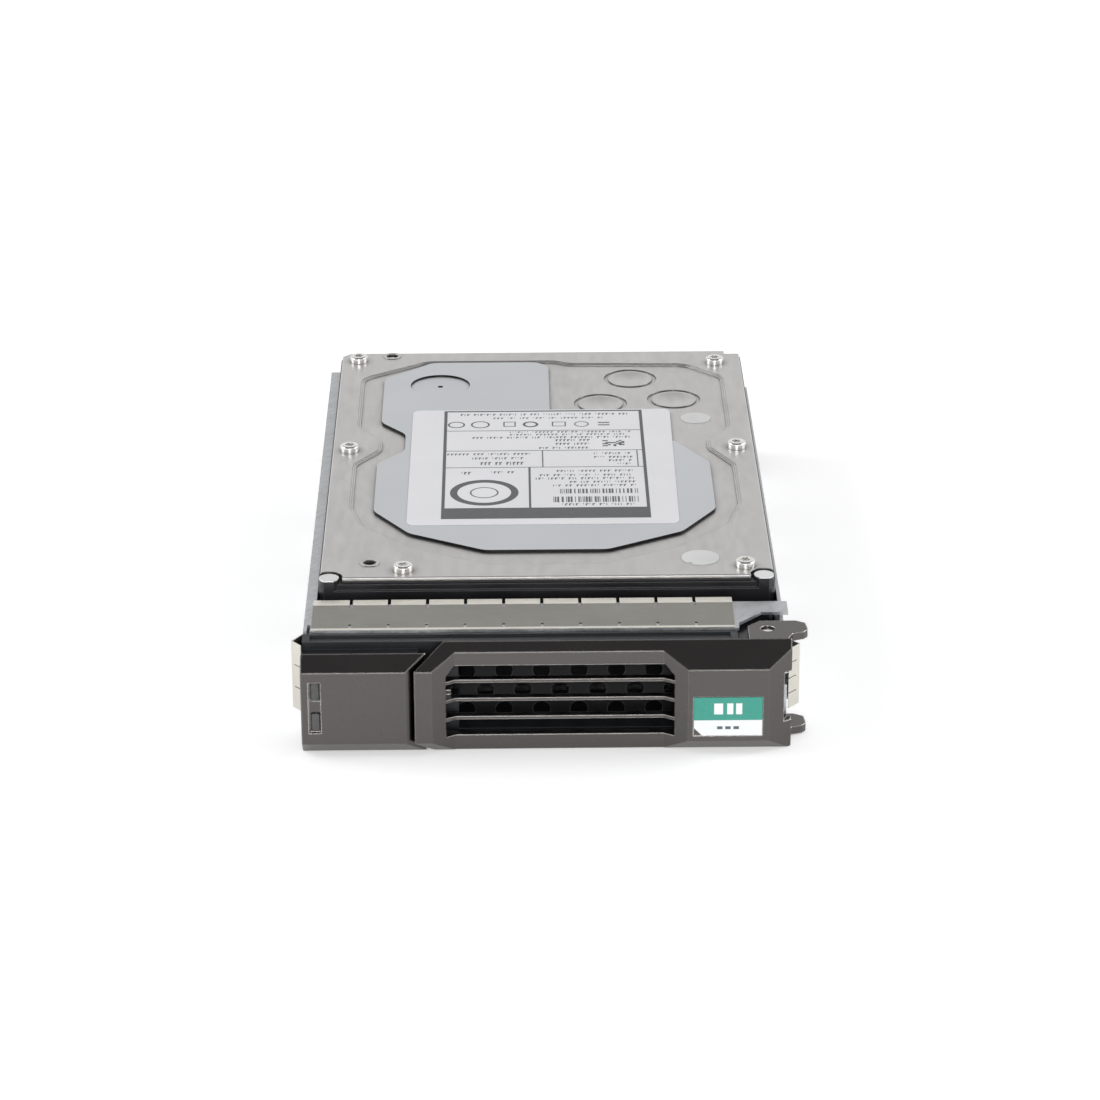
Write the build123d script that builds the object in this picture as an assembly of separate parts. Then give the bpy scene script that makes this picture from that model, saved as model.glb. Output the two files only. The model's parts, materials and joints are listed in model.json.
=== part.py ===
from build123d import *
import math
import os

os.makedirs("parts", exist_ok=True)

# A 3.5 inch hard disk drive in its hot-swap carrier. Millimetres.
# The model is drawn with x = 0 on the drive's centre plane, y = 0 on the drive's front
# face, +Y towards the connector and z = 0 on the surface the carrier rests on. Each
# piece is moved at export so that the origin is the middle of the bounding box's base.

# ---- driving dimensions: drive -------------------------------------------------------
DRIVE_W = 101.6
DRIVE_L = 147.0
DRIVE_H = 26.1
DRIVE_Z0 = 1.9
HALF_W = DRIVE_W / 2
COVER_Z = DRIVE_Z0 + DRIVE_H
COVER_T = 0.8
GASKET_T = 0.6
RIM_Z = COVER_Z - COVER_T - GASKET_T
FLOOR_Z = 8.4
BOARD_ROOF_Z = 6.6
CAVITY_HALF_W = 48.4
CAVITY_REAR_Y = 139.0
CAVITY_LEFT_X = -45.5
SIDE_HOLE_Y = [DRIVE_L - 130.1, DRIVE_L - 70.1, DRIVE_L - 28.5]
SIDE_HOLE_Z = DRIVE_Z0 + 6.35
BOTTOM_HOLE_X = 95.25 / 2
BOTTOM_HOLE_Y = [DRIVE_L - 85.73, DRIVE_L - 41.28]
MOUNT_HOLE_R = 1.4
COVER_SCREWS = [(-46.2, 140.6), (-46.4, 78.6), (-32.0, 5.1), (43.9, 137.6), (46.3, 78.9), (44.3, 6.2)]
COVER_PORTS = [(-37.8, 144.1), (-39.6, 9.6)]
DATUM_PADS = [(-48.4, 1.9), (48.2, 1.9)]
DATUM_PAD_R = 2.2
RECESS_DEPTH = 0.5
BREATHER = (-25.3, 122.6)
PLATE_CORNER_R = 5.0
RECESS_CORNER_R = 6.0
BREATHER_R = 7.4
DIMPLES = [(22.2, 127.8), (14.4, 110.5), (32.6, 113.0)]
DIMPLE_R = 6.6
PLATE_T = 0.6
LABEL_T = 0.1
BOARD_Z = (3.0, 4.1)
BOARD_SCREWS = [(-40.0, 62.0), (-40.0, 136.0), (40.0, 88.0), (0.0, 84.0), (-6.0, 142.0)]
CONNECTOR_X = (2.0, 43.0)
CONNECTOR_Z = (2.2, 8.0)

# ---- driving dimensions: disk pack and head stack -----------------------------------
SPINDLE = (0.0, 51.5)
PLATTER_R = 47.5
PLATTER_BORE_R = 12.55
PLATTER_T = 1.27
PLATTER_PITCH = 4.0
PLATTER_Z = [12.4 + PLATTER_PITCH * i for i in range(3)]
HUB_R = 12.5
HUB_FLANGE_R = 16.0
CLAMP_Z = PLATTER_Z[-1] + PLATTER_T
SHAFT_R = 2.0
RUNNING_FIT = 0.05
PIVOT = (20.0, 107.5)
ARM_LENGTH = 52.0
ARM_REST_DEG = 197.0
COIL_REST_DEG = ARM_REST_DEG - 180.0
COIL_Z = 17.4
COIL_T = 2.6
MAGNET_T = 2.4
COIL_GAP = 0.8
COIL_LOW = COIL_Z - COIL_T / 2 - COIL_GAP
COIL_HIGH = COIL_Z + COIL_T / 2 + COIL_GAP
STANDOFFS = [(38.5, 100.2), (34.4, 133.6), (22.0, 128.2)]
ARM_T = 1.2
LEAF_T = 0.16
LEAF_OFFSET = PLATTER_PITCH / 2 - ARM_T / 2 - LEAF_T / 2
YOKE_T = 1.8

# ---- driving dimensions: carrier -----------------------------------------------------
FRONT_Y = -32.0
GRILLE_Y = -28.8
BAR_BACK_Y = -26.9
EDGE_R = 0.3
SHOULDER_Z = 19.9
CHAMFER_Z = 3.0
CHAMFER_Y = FRONT_Y - GRILLE_Y
BUTTON_LEFT_X = -53.6
HANDLE_RIGHT_X = 52.6
END_SLOPE = 0.72
SHELL_T = 1.5
EAR_TOP = (22.8, 24.6)
EAR_BOTTOM = (0.3, 2.2)
HINGE = (47.7, -20.7)
HINGE_PIN_R = 1.5
GRILLE_X = (-22.3, 27.2)
GRILLE_Z = (3.6, 20.0)
SLAT_T = 0.75
SLAT_Z = [7.25, 11.6, 15.95]
WINDOW_X = (-51.9, -49.3)
WINDOW_Z = (5.7, 17.6)
PIPE_X = (-51.4, -49.5)
PIPE_Z = [(5.9, 10.3), (13.1, 17.4)]
PIPE_GAP = 0.12
PIPE_FRONT_Y = FRONT_Y + 0.45
WINDOW_BACK_Y = FRONT_Y + 0.8
FRAME_FRONT_Y = -24.2
FRAME_BACK_Y = -19.8
FRAME_TOP_Z = 23.8
FRAME_X = (-53.4, 41.2)
BOSS_FRONT_Y = -26.2
BOSS_TOP_Z = 22.0
BUTTON_TRAVEL = 2.0
POST_AT = [(-46.5, 17.4), (-34.5, 17.4), (-46.5, 5.3)]
POST_R = 1.5
CATCH_X = (-41.0, -25.2)
CATCH_Y = (-24.9, -22.7)
CATCH_Z = (6.5, 13.5)
NOSE_Z0 = 10.5
KEEPER_TIP_X = CATCH_X[1] + 0.2
SLIDE_GAP = 0.1
SHEET_T = 0.8
RAIL_IN_X = HALF_W + 0.15
RAIL_LEFT_OUT_X = 53.3
RAIL_TOP_Z = 24.4
RAIL_FLANGE_W = 8.0
RAIL_FLANGE_T = 0.9
RAIL_LEFT_Y = (-19.6, 142.5)
RAIL_RIGHT_Y = (-25.6, 131.5)
BRACKET_Y = (-19.5, -5.4)
SHIELD_X = (-50.6, 41.0)
SHIELD_Y = (-19.4, -18.6)
SHIELD_ROWS = 4
SHIELD_ROW_PITCH = 4.7
SHIELD_PITCH = 8.2
SHIELD_HOLE_R = 1.9
RIVETS = [(-1, -14.5), (-1, -8.5), (1, -7.8)]
RIVET_Z = 15.5
RIVET_R = 0.8
EMI_X = (-51.6, 40.7)
EMI_SEGMENTS = 11
EMI_T = 0.15
CONTACT_T = 0.25
CONTACT_ROOT_Y = -20.0
SLIT_W = 0.2

# ---- where the origin goes -----------------------------------------------------------
EMI_LEFT_APEX = (-55.7, -23.8)
HOOK_TIP_X = 56.4
ORIGIN_X = (EMI_LEFT_APEX[0] + HOOK_TIP_X) / 2
ORIGIN_Y = (FRONT_Y + DRIVE_L) / 2
TO_ORIGIN = Pos(-ORIGIN_X, -ORIGIN_Y, 0)


# ---- helpers -------------------------------------------------------------------------
STANDING = (Align.CENTER, Align.CENTER, Align.MIN)


def block(x0, x1, y0, y1, z0, z1):
    return Pos(x0, y0, z0) * Box(x1 - x0, y1 - y0, z1 - z0, align=(Align.MIN, Align.MIN, Align.MIN))


def disc(centre, radius, z0, z1):
    return Pos(centre[0], centre[1], z0) * Cylinder(radius, z1 - z0, align=STANDING)


def ring(centre, inner, outer, z0, z1):
    return disc(centre, outer, z0, z1) - disc(centre, inner, z0, z1)


def rod_x(x0, x1, y, z, radius):
    return Pos(x0, y, z) * Rot(0, 90, 0) * Cylinder(radius, x1 - x0, align=STANDING)


def rod_y(x, y0, y1, z, radius):
    return Pos(x, y0, z) * Rot(-90, 0, 0) * Cylinder(radius, y1 - y0, align=STANDING)


def outline(points, radius=0.0):
    """A flat face from plan points, its corners rounded by one radius."""
    face = make_face(Polyline(*points, close=True))
    if radius:
        face = fillet(face.vertices(), radius)
    return face


def prism(points, z0, z1, radius=0.0):
    """A plan outline raised from z0 to z1."""
    return Pos(0, 0, z0) * extrude(outline(points, radius), z1 - z0)


def profile_x(points, x0, x1):
    """An outline of (y, z) points, extended along X."""
    face = Face(Wire.make_polygon([(x0, y, z) for y, z in points], close=True))
    return extrude(face, x1 - x0, dir=(1, 0, 0))


def profile_y(points, y0, y1):
    """An outline of (x, z) points, extended along Y."""
    face = Face(Wire.make_polygon([(x, y0, z) for x, z in points], close=True))
    return extrude(face, y1 - y0, dir=(0, 1, 0))


def polar(centre, radius, degrees):
    angle = math.radians(degrees)
    return (centre[0] + radius * math.cos(angle), centre[1] + radius * math.sin(angle))


def sector(centre, inner, outer, start, end, z0, z1):
    """A ring sector between two angles in degrees."""
    steps = 12
    far = [polar(centre, 2 * outer, start + (end - start) * i / steps) for i in range(steps + 1)]
    wedge = prism([centre] + far, z0, z1)
    return ring(centre, inner, outer, z0, z1) & wedge


def coil_spring(radius, wire, height, pitch, lift=0.0):
    """A helical spring along +Z with its first turn centre at the origin."""
    path = Helix(pitch, height, radius)
    section = Plane(origin=path @ 0, z_dir=path % 0) * Circle(wire / 2)
    return Pos(0, 0, lift) * sweep(section, path=path, is_frenet=True)


def save(name, *solids):
    """Write one node: a single solid, or several separate solids kept together."""
    pieces = [TO_ORIGIN * piece for shape in solids for piece in shape.solids()]
    node = pieces[0] if len(pieces) == 1 else Compound(pieces)
    node.label = name
    export_step(node, f"parts/{name}.step")


# ---- drive: casting and cover --------------------------------------------------------
def rectangle(x0, x1, y0, y1):
    return Pos((x0 + x1) / 2, (y0 + y1) / 2) * Rectangle(x1 - x0, y1 - y0)


def circle(centre, radius):
    return Pos(*centre) * Circle(radius)


def cavity(grow, z0, z1):
    """The space the casting keeps for the disks and the head stack."""
    half = CAVITY_HALF_W + grow
    rear = CAVITY_REAR_Y + grow
    disks = circle(SPINDLE, half + 0.2) & rectangle(-half, half, -20, 100)
    left = CAVITY_LEFT_X - grow
    rear_bay = outline([(left, 75), (half, 75), (half, rear), (left, rear)], 4.0)
    plan = disks + rear_bay
    for centre in COVER_SCREWS:
        plan -= circle(centre, 4.1 - grow)
    return Pos(0, 0, z0) * extrude(plan, z1 - z0)


def base_casting():
    body = prism([(-HALF_W, 0), (HALF_W, 0), (HALF_W, DRIVE_L), (-HALF_W, DRIVE_L)], DRIVE_Z0, RIM_Z, 2.0)
    lip = RIM_Z - 1.4
    body -= block(-60, 60, -1, 0.7, lip, 40)
    body -= cavity(0, FLOOR_Z, 40)
    for side in (-1, 1):
        for y in SIDE_HOLE_Y:
            x0, x1 = sorted((side * 44.5, side * 49))
            body += block(x0, x1, y - 3.2, y + 3.2, 8.0, 10.9)
    body -= block(-43.5, 43.5, 22, 150, 0, BOARD_ROOF_Z)
    body -= block(-43.5, 43.5, 4, 19, 0, BOARD_ROOF_Z - 1.2)
    body += disc(SPINDLE, 17.0, 4.6, BOARD_ROOF_Z + 0.1)
    body += disc(PIVOT, 6.0, FLOOR_Z - 0.1, FLOOR_Z + 0.7)
    for rib in range(5):
        x = -34 + 17 * rib
        body += block(x - 0.6, x + 0.6, 4, 19, 2.6, BOARD_ROOF_Z - 1.1)
    for centre in DATUM_PADS:
        body += disc(centre, DATUM_PAD_R, 10, COVER_Z - 0.2) & block(-HALF_W, HALF_W, 0, 10, 0, 40)
    for centre in COVER_SCREWS:
        body -= disc(centre, 1.5, 17.5, 40)
    for x, y in COVER_PORTS:
        body -= disc((x, y), 1.6, 22, 40)
    for side in (-1, 1):
        for y in SIDE_HOLE_Y:
            body -= rod_x(min(side * 47, side * 60), max(side * 47, side * 60), y, SIDE_HOLE_Z, MOUNT_HOLE_R)
        for y in BOTTOM_HOLE_Y:
            body -= disc((side * BOTTOM_HOLE_X, y), MOUNT_HOLE_R, 0, DRIVE_Z0 + 4.6)
    body -= disc(SPINDLE, 4.25, 0, 40)
    for y0, y1 in ((26, 66), (88, 108)):
        for side in (-1, 1):
            body -= block(min(side * 50.2, side * 52), max(side * 50.2, side * 52), y0, y1, 12.5, 23)
    body -= block(CONNECTOR_X[0] - 0.2, CONNECTOR_X[1] + 0.2, 138.9, 150, 0, CONNECTOR_Z[1] + 0.2)
    for x, y in BOARD_SCREWS:
        body += disc((x, y), 3.0, BOARD_Z[1], BOARD_ROOF_Z + 0.1)
        body -= disc((x, y), 1.1, 0, 8.0)
    return body


def cover_region(grow, z0, z1):
    """The outline that the cover's pressed recess follows: round the disks, then the rear bay."""
    front = [(-13, 7.9), (13, 7.9), (31, 18), (42.5, 31), (45.6, 43), (45.6, 68), (40.2, 79)]
    rear = [(40.2, 84), (45.6, 92), (45.6, 128), (36.5, 137.2), (7, 138.2), (3.5, 140.2), (-29, 140.2),
            (-45.2, 128.5), (-45.2, 94), (-39.6, 85), (-39.6, 79), (-45.4, 70)]
    left = [(-45.4, 42), (-42.5, 31), (-31, 18)]
    face = outline(front + rear + left, RECESS_CORNER_R)
    if grow:
        face = offset(face, grow)
    return Pos(0, 0, z0) * extrude(face, z1 - z0)


def top_cover():
    x = HALF_W - 0.4
    edge = [(-x, 1.2), (x, 1.2), (x, 144.4), (x - 3.7, 144.4), (x - 3.7, 146.4), (-x + 2, 146.4),
            (-x, 144.4)]
    sheet = prism(edge, COVER_Z - COVER_T, COVER_Z)
    sheet = chamfer(sheet.faces().sort_by(Axis.Z)[-1].edges(), 0.2)
    floor_z = COVER_Z - RECESS_DEPTH
    sheet += cover_region(-1.3, floor_z - COVER_T, COVER_Z - COVER_T)
    sheet -= cover_region(-0.9, floor_z, 40)
    sheet -= cover_region(-0.45, floor_z + RECESS_DEPTH / 2, 40)
    sheet -= cover_region(0, COVER_Z - 0.12, 40)
    for centre in DATUM_PADS:
        sheet -= disc(centre, DATUM_PAD_R + 0.8, 20, 40)
    for centre in COVER_SCREWS:
        sheet -= disc(centre, 1.7, 20, 40)
    for centre in COVER_PORTS:
        sheet += disc(centre, 2.3, COVER_Z - 0.1, COVER_Z + 0.15)
        sheet -= disc(centre, 1.5, 20, 40)
    for centre in DIMPLES:
        sheet -= disc(centre, DIMPLE_R, floor_z - 0.3, 40)
        sheet += disc(centre, DIMPLE_R - 1.1, floor_z - 0.4, floor_z)
        sheet -= Pos(centre[0], centre[1], floor_z + 28.6) * Sphere(29.0)
    sheet -= disc(BREATHER, 0.7, 20, 40)
    return sheet


def damping_plate():
    """The bonded plate on the cover: stepped round the label and notched beside one screw."""
    low = COVER_Z - RECESS_DEPTH
    front = [(-14, 16.3), (14, 16.3), (31.2, 26.5), (39.4, 40), (39.4, 69), (31.5, 83.5), (1.8, 92)]
    rear = [(1.8, 138.8), (-27.5, 138.8), (-39.3, 127.5), (-39.3, 97), (-33.2, 89), (-33.2, 78), (-39.6, 70)]
    plate = prism(front + rear + [(-39.6, 40), (-31.2, 26.5)], low, low + PLATE_T, PLATE_CORNER_R)
    plate -= disc(BREATHER, BREATHER_R, low + 0.2, 40)
    plate -= disc(BREATHER, 0.7, 20, 40)
    return plate


def drive_label():
    low = COVER_Z - RECESS_DEPTH + PLATE_T
    return prism([(-31.9, 31.1), (30.7, 31.1), (31.2, 104.6), (-31.7, 104.6)], low, low + LABEL_T, 2.0)


def seal_stickers():
    low = COVER_Z - RECESS_DEPTH
    rear = disc((37.4, 99.8), 3.7, low, low + LABEL_T)
    front = disc((34.5, 11.0), 4.3, COVER_Z, COVER_Z + LABEL_T)
    front -= block(25, 32.5, 5, 8.2, COVER_Z - 1, COVER_Z + 1)
    return [rear, front]


def star_socket(centre, radius, z0, z1):
    socket = disc(centre, radius * 0.72, z0, z1)
    for i in range(6):
        socket += disc(polar(centre, radius * 0.72, 60 * i), radius * 0.28, z0, z1)
    return socket


def pan_screw(centre, head_r, head_h, shank_r, seat_z, tip_z):
    """A vertical pan-head screw with a six-lobed socket."""
    screw = disc(centre, head_r, seat_z, seat_z + head_h)
    screw = fillet(screw.edges().sort_by(Axis.Z)[-1], head_h * 0.35)
    screw -= star_socket(centre, head_r * 0.5, seat_z + head_h * 0.4, seat_z + head_h + 1)
    return screw + disc(centre, shank_r, tip_z, seat_z)


def cover_screws():
    return [pan_screw(c, 2.25, 1.6, 1.4, COVER_Z, 18.5) for c in COVER_SCREWS]


def cover_gasket():
    seal = prism([(-49.4, 1.4), (49.4, 1.4), (49.4, 144.0), (-49.4, 144.0)], RIM_Z, RIM_Z + GASKET_T, 3.0)
    seal -= cavity(0.3, RIM_Z - 1, RIM_Z + 2)
    holes = [(centre, 1.8) for centre in COVER_SCREWS]
    holes += [(COVER_PORTS[0], 3.0), (COVER_PORTS[1], 1.9)]
    holes += [(centre, DATUM_PAD_R + 0.8) for centre in DATUM_PADS]
    for centre, radius in holes:
        seal -= disc(centre, radius, RIM_Z - 1, RIM_Z + 2)
    return seal


def breather_filter():
    x, y = BREATHER
    return block(x - 9, x + 9, y - 8, y + 8, 19.0, COVER_Z - RECESS_DEPTH - COVER_T - 0.2)


def recirculation_filter():
    return prism([(-42.5, 98.5), (-38.5, 102.5), (-40, 104), (-44, 100)], FLOOR_Z, 24.0)


# ---- drive: disk pack ----------------------------------------------------------------
def spindle_sleeve():
    sleeve = ring(SPINDLE, SHAFT_R + RUNNING_FIT, 4.2, 5.2, 21.5)
    return sleeve + disc(SPINDLE, 4.2, 4.6, 5.2)


def spindle_shaft():
    return disc(SPINDLE, SHAFT_R, 5.4, 25.0)


def stator_core():
    core = ring(SPINDLE, 4.25, 6.0, 12.0, 17.0)
    for i in range(9):
        angle = 40 * i
        tooth = sector(SPINDLE, 8.4, 9.5, angle - 15, angle + 15, 12.0, 17.0)
        web = block(SPINDLE[0] + 5.6, SPINDLE[0] + 8.8, SPINDLE[1] - 0.5, SPINDLE[1] + 0.5, 12.0, 17.0)
        core += web.rotate(Axis((SPINDLE[0], SPINDLE[1], 0), (0, 0, 1)), angle)
        core += tooth
    return core


def stator_coils():
    coils = []
    for i in range(9):
        x, y = SPINDLE
        coil = block(x + 6.3, x + 8.2, y - 1.25, y + 1.25, 11.2, 17.8)
        coil -= block(x + 6, x + 9, y - 0.55, y + 0.55, 11.9, 17.1)
        coils.append(coil.rotate(Axis((x, y, 0), (0, 0, 1)), 40 * i))
    return coils


def rotor_magnet():
    return ring(SPINDLE, 9.8, 10.9, 10.6, 18.4)


def spindle_hub():
    hub = disc(SPINDLE, HUB_R, 9.6, CLAMP_Z)
    hub += disc(SPINDLE, HUB_FLANGE_R, 10.4, PLATTER_Z[0])
    hub -= disc(SPINDLE, 10.9, 9, 20.0)
    hub -= disc(SPINDLE, 4.5, 19, 22.0)
    hub -= disc(SPINDLE, SHAFT_R, 19, 40)
    for i in range(6):
        hub -= disc(polar(SPINDLE, 7.5, 60 * i), 0.9, 20.3, 40)
    return hub


def platter(index):
    z = PLATTER_Z[index]
    return ring(SPINDLE, PLATTER_BORE_R, PLATTER_R, z, z + PLATTER_T)


def spacer_rings():
    gap = [(PLATTER_Z[i] + PLATTER_T, PLATTER_Z[i + 1]) for i in range(2)]
    return [ring(SPINDLE, PLATTER_BORE_R, HUB_FLANGE_R, low, high) for low, high in gap]


def disk_clamp():
    clamp = disc(SPINDLE, HUB_FLANGE_R, CLAMP_Z, CLAMP_Z + 1.6)
    clamp = fillet(clamp.edges().sort_by(Axis.Z)[-1], 0.5)
    clamp -= disc(SPINDLE, 3.4, 0, 40)
    for i in range(6):
        clamp -= disc(polar(SPINDLE, 7.5, 60 * i), 1.1, 0, 40)
        clamp -= disc(polar(SPINDLE, 12.3, 60 * i + 30), 1.0, 0, 40)
    return clamp


def clamp_screws():
    seat = CLAMP_Z + 1.6
    return [pan_screw(polar(SPINDLE, 7.5, 60 * i), 1.7, 1.0, 0.85, seat, 20.6) for i in range(6)]


# ---- drive: head stack ---------------------------------------------------------------
def about_pivot(shape, degrees):
    return shape.rotate(Axis((PIVOT[0], PIVOT[1], 0), (0, 0, 1)), degrees)


def arm_levels():
    """Middle heights of the arms: one below, between and above the platters."""
    return [PLATTER_Z[0] + PLATTER_T / 2 - PLATTER_PITCH / 2 + PLATTER_PITCH * i for i in range(4)]


def pivot_shaft():
    return disc(PIVOT, 2.5, FLOOR_Z + 0.7, 26.3)


def pivot_bearing():
    levels = arm_levels()
    return ring(PIVOT, 2.5 + RUNNING_FIT, 6.0, levels[0] - 0.8, levels[-1] + 1.4)


def head_arm():
    """The arm block: a hub round the bearing, four arms one way and a coil fork the other."""
    px, py = PIVOT
    levels = arm_levels()
    block_body = disc(PIVOT, 9.0, levels[0] - 0.6, levels[-1] + 0.6)
    for z in levels:
        arm = prism([(px + 4, py - 8), (px + 34, py - 4.2), (px + 36.5, py), (px + 34, py + 4.2),
                     (px + 4, py + 8)],
                    z - ARM_T / 2, z + ARM_T / 2)
        arm -= prism([(px + 12, py - 3.6), (px + 27, py - 1.4), (px + 27, py + 1.4), (px + 12, py + 3.6)],
                     z - 1, z + 1, 1.0)
        block_body += about_pivot(arm, ARM_REST_DEG)
    for side in (-1, 1):
        fork = prism([(px + 7, py + side * 4), (px + 24, py + side * 8.2), (px + 24, py + side * 9.9),
                      (px + 5, py + side * 7.2)], COIL_Z - 1.2, COIL_Z + 1.2)
        block_body += about_pivot(fork, COIL_REST_DEG)
    block_body -= disc(PIVOT, 6.0, 0, 40)
    return block_body


def coil_outline(grow):
    px, py = PIVOT
    return [(px + 11 - grow, py - 2.6 - grow), (px + 24.6 + grow, py - 7.4 - grow),
            (px + 24.6 + grow, py + 7.4 + grow), (px + 11 - grow, py + 2.6 + grow)]


def voice_coil():
    outer = prism(coil_outline(0), COIL_Z - COIL_T / 2, COIL_Z + COIL_T / 2, 1.6)
    inner = prism(coil_outline(-2.4), COIL_Z - COIL_T, COIL_Z + COIL_T)
    return about_pivot(outer - inner, COIL_REST_DEG)


def suspensions():
    """Six stiffened leaves: one on each face of the platters, with a lift tab at the tip."""
    px, py = PIVOT
    leaves = []
    for z in PLATTER_Z:
        for side in (-1, 1):
            face = z + PLATTER_T / 2 + side * LEAF_OFFSET
            leaf = prism([(px + 30, py - 3.4), (px + 49, py - 1.5), (px + 55, py - 0.45),
                          (px + 55, py + 0.45),
                          (px + 49, py + 1.5), (px + 30, py + 3.4)], face - LEAF_T / 2, face + LEAF_T / 2)
            leaves.append(about_pivot(leaf, ARM_REST_DEG))
    return leaves


def head_sliders():
    px, py = PIVOT
    sliders = []
    for z in PLATTER_Z:
        for side in (-1, 1):
            middle = z + PLATTER_T / 2
            disk_side = middle + side * (PLATTER_T / 2 + 0.25)
            leaf_side = middle + side * (LEAF_OFFSET - LEAF_T / 2)
            low, high = sorted((disk_side, leaf_side))
            slider = block(px + ARM_LENGTH - 0.9, px + ARM_LENGTH + 0.9, py - 0.7, py + 0.7, low, high)
            sliders.append(about_pivot(slider, ARM_REST_DEG))
    return sliders


def load_ramp():
    """The comb the heads park on: tongues in the platters' planes, outside their edges."""
    top = PLATTER_Z[-1] + PLATTER_T + 1.4
    comb = sector(PIVOT, 55.8, 59.2, 189.5, 200.2, FLOOR_Z, top)
    for z in PLATTER_Z:
        middle = z + PLATTER_T / 2
        comb += sector(PIVOT, 50.8, 56.4, 190.5, 198.4, middle - 0.45, middle + 0.45)
    comb += sector(PIVOT, 55.8, 63.5, 189.5, 197.0, FLOOR_Z, FLOOR_Z + 2.0)
    comb -= disc(polar(PIVOT, 61.3, 193.2), 0.9, 0, 40)
    return comb


def yoke_plate(z0, z1):
    """A steel plate of the coil motor, with lobes over its three standoffs."""
    points = [(34.5, 97.2), (41.5, 97.2), (47.7, 103.5), (47.7, 119), (40.5, 131.5), (36, 136.5),
              (31.5, 135.5)]
    points += [(19.8, 130.2), (19.8, 125)]
    plate = prism(points, z0, z1, 1.5)
    return plate - disc(PIVOT, 10.4, 0, 40)


def lower_yoke():
    plate = yoke_plate(COIL_LOW - MAGNET_T - YOKE_T, COIL_LOW - MAGNET_T)
    for centre in STANDOFFS:
        plate += disc(centre, 1.9, COIL_LOW - MAGNET_T - 0.1, COIL_HIGH + MAGNET_T)
        plate += disc(centre, 2.2, FLOOR_Z, COIL_LOW - MAGNET_T - YOKE_T + 0.1)
    return plate


def upper_yoke():
    z0 = COIL_HIGH + MAGNET_T
    plate = yoke_plate(z0, z0 + YOKE_T)
    for centre in STANDOFFS:
        plate -= disc(centre, 1.0, z0 - 1, z0 + 5)
    return plate


def yoke_screws():
    seat = COIL_HIGH + MAGNET_T + YOKE_T
    return [pan_screw(c, 1.8, 0.9, 0.95, seat, seat - YOKE_T) for c in STANDOFFS]


def coil_magnets():
    low = sector(PIVOT, 11.5, 25.5, 6, 62, COIL_LOW - MAGNET_T, COIL_LOW)
    high = sector(PIVOT, 11.5, 25.5, 6, 62, COIL_HIGH, COIL_HIGH + MAGNET_T)
    return [low, high]


def flex_connector():
    bracket = block(-6, 4, 116, 130, FLOOR_Z, FLOOR_Z + 1.2)
    bracket += block(3.0, 4.2, 116, 130, FLOOR_Z, 20.0)
    bracket += block(-4, 1, 119, 127, FLOOR_Z + 1.1, FLOOR_Z + 3.2)
    return bracket


def flex_cable():
    """A ribbon on edge: it leaves the arm block's side and loops back to its bracket."""
    route = FilletPolyline((4.35, 121.0), (9.0, 126.5), (16.4, 125.0), (17.6, 116.7), radius=2.2)
    return Pos(0, 0, 13.0) * extrude(trace(route, 0.25), 6.5)


# ---- drive: board and connector ------------------------------------------------------
def circuit_board():
    edge = [(-43, 57), (-20.5, 57), (-18, 62), (-12, 68.5), (0, 72), (12, 68.5), (18, 62), (20.5, 57),
            (43, 57)]
    board = prism(edge + [(43, 139.5), (1.5, 139.5), (1.5, 145.5), (-43, 145.5)], BOARD_Z[0], BOARD_Z[1])
    for centre in BOARD_SCREWS:
        board -= disc(centre, 1.2, 0, 40)
    return board


def board_chips():
    sizes = [(-18, 112, 14, 14, 1.4), (14, 122, 9, 9, 1.2), (-2, 96, 11, 8, 1.2), (26, 100, 8, 8, 1.3),
             (-30, 84, 6, 5, 1.8), (20, 78, 6, 3.4, 1.9), (30, 78, 6, 3.4, 1.9), (-30, 128, 5, 4, 1.0)]
    chips = []
    for x, y, width, depth, height in sizes:
        chip = block(x - width / 2, x + width / 2, y - depth / 2, y + depth / 2, 0, height)
        chips.append(Pos(0, 0, BOARD_Z[1]) * chip)
    return chips


def board_screws():
    screws = []
    for x, y in BOARD_SCREWS:
        screw = disc((x, y), 2.2, BOARD_Z[0] - 0.9, BOARD_Z[0])
        screw -= star_socket((x, y), 1.1, 0, BOARD_Z[0] - 0.4)
        screws.append(screw + disc((x, y), 1.0, BOARD_Z[0], 7.6))
    return screws


def data_connector():
    """The rear plug: an L-section tongue for the signal and power blades, open above and below."""
    x0, x1 = CONNECTOR_X
    z0, z1 = CONNECTOR_Z
    plug = block(x0, x1, 139.6, 142.2, z0, z1)
    plug += block(x0, x0 + 2.2, 142.2, DRIVE_L, z0, z1)
    plug += block(x1 - 2.2, x1, 142.2, DRIVE_L, z0, z1)
    plug += block(x0 + 2.2, x1 - 2.2, 142.2, DRIVE_L, z0, z0 + 0.8)
    plug += block(x0 + 3.8, x1 - 3.8, 142.2, DRIVE_L - 0.6, 4.6, 5.7)
    plug += block(x1 - 4.9, x1 - 3.8, 142.2, DRIVE_L - 0.6, 3.5, 4.7)
    plug += block(x0 + 12.4, x0 + 14.4, 142.2, DRIVE_L - 0.6, 5.6, 6.8)
    plug -= block(x0 - 1, x1 + 1, 139, 140.8, 0, BOARD_Z[1])
    return plug


def connector_contacts():
    x0 = CONNECTOR_X[0]
    contacts = []
    for i in range(7):
        x = x0 + 4.9 + 1.0 * i
        contacts.append(block(x - 0.3, x + 0.3, 142.3, DRIVE_L - 1.0, 5.7, 5.85))
    for i in range(15):
        x = x0 + 16.2 + 1.27 * i
        contacts.append(block(x - 0.4, x + 0.4, 142.3, DRIVE_L - 1.0, 5.7, 5.85))
    return contacts


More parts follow.
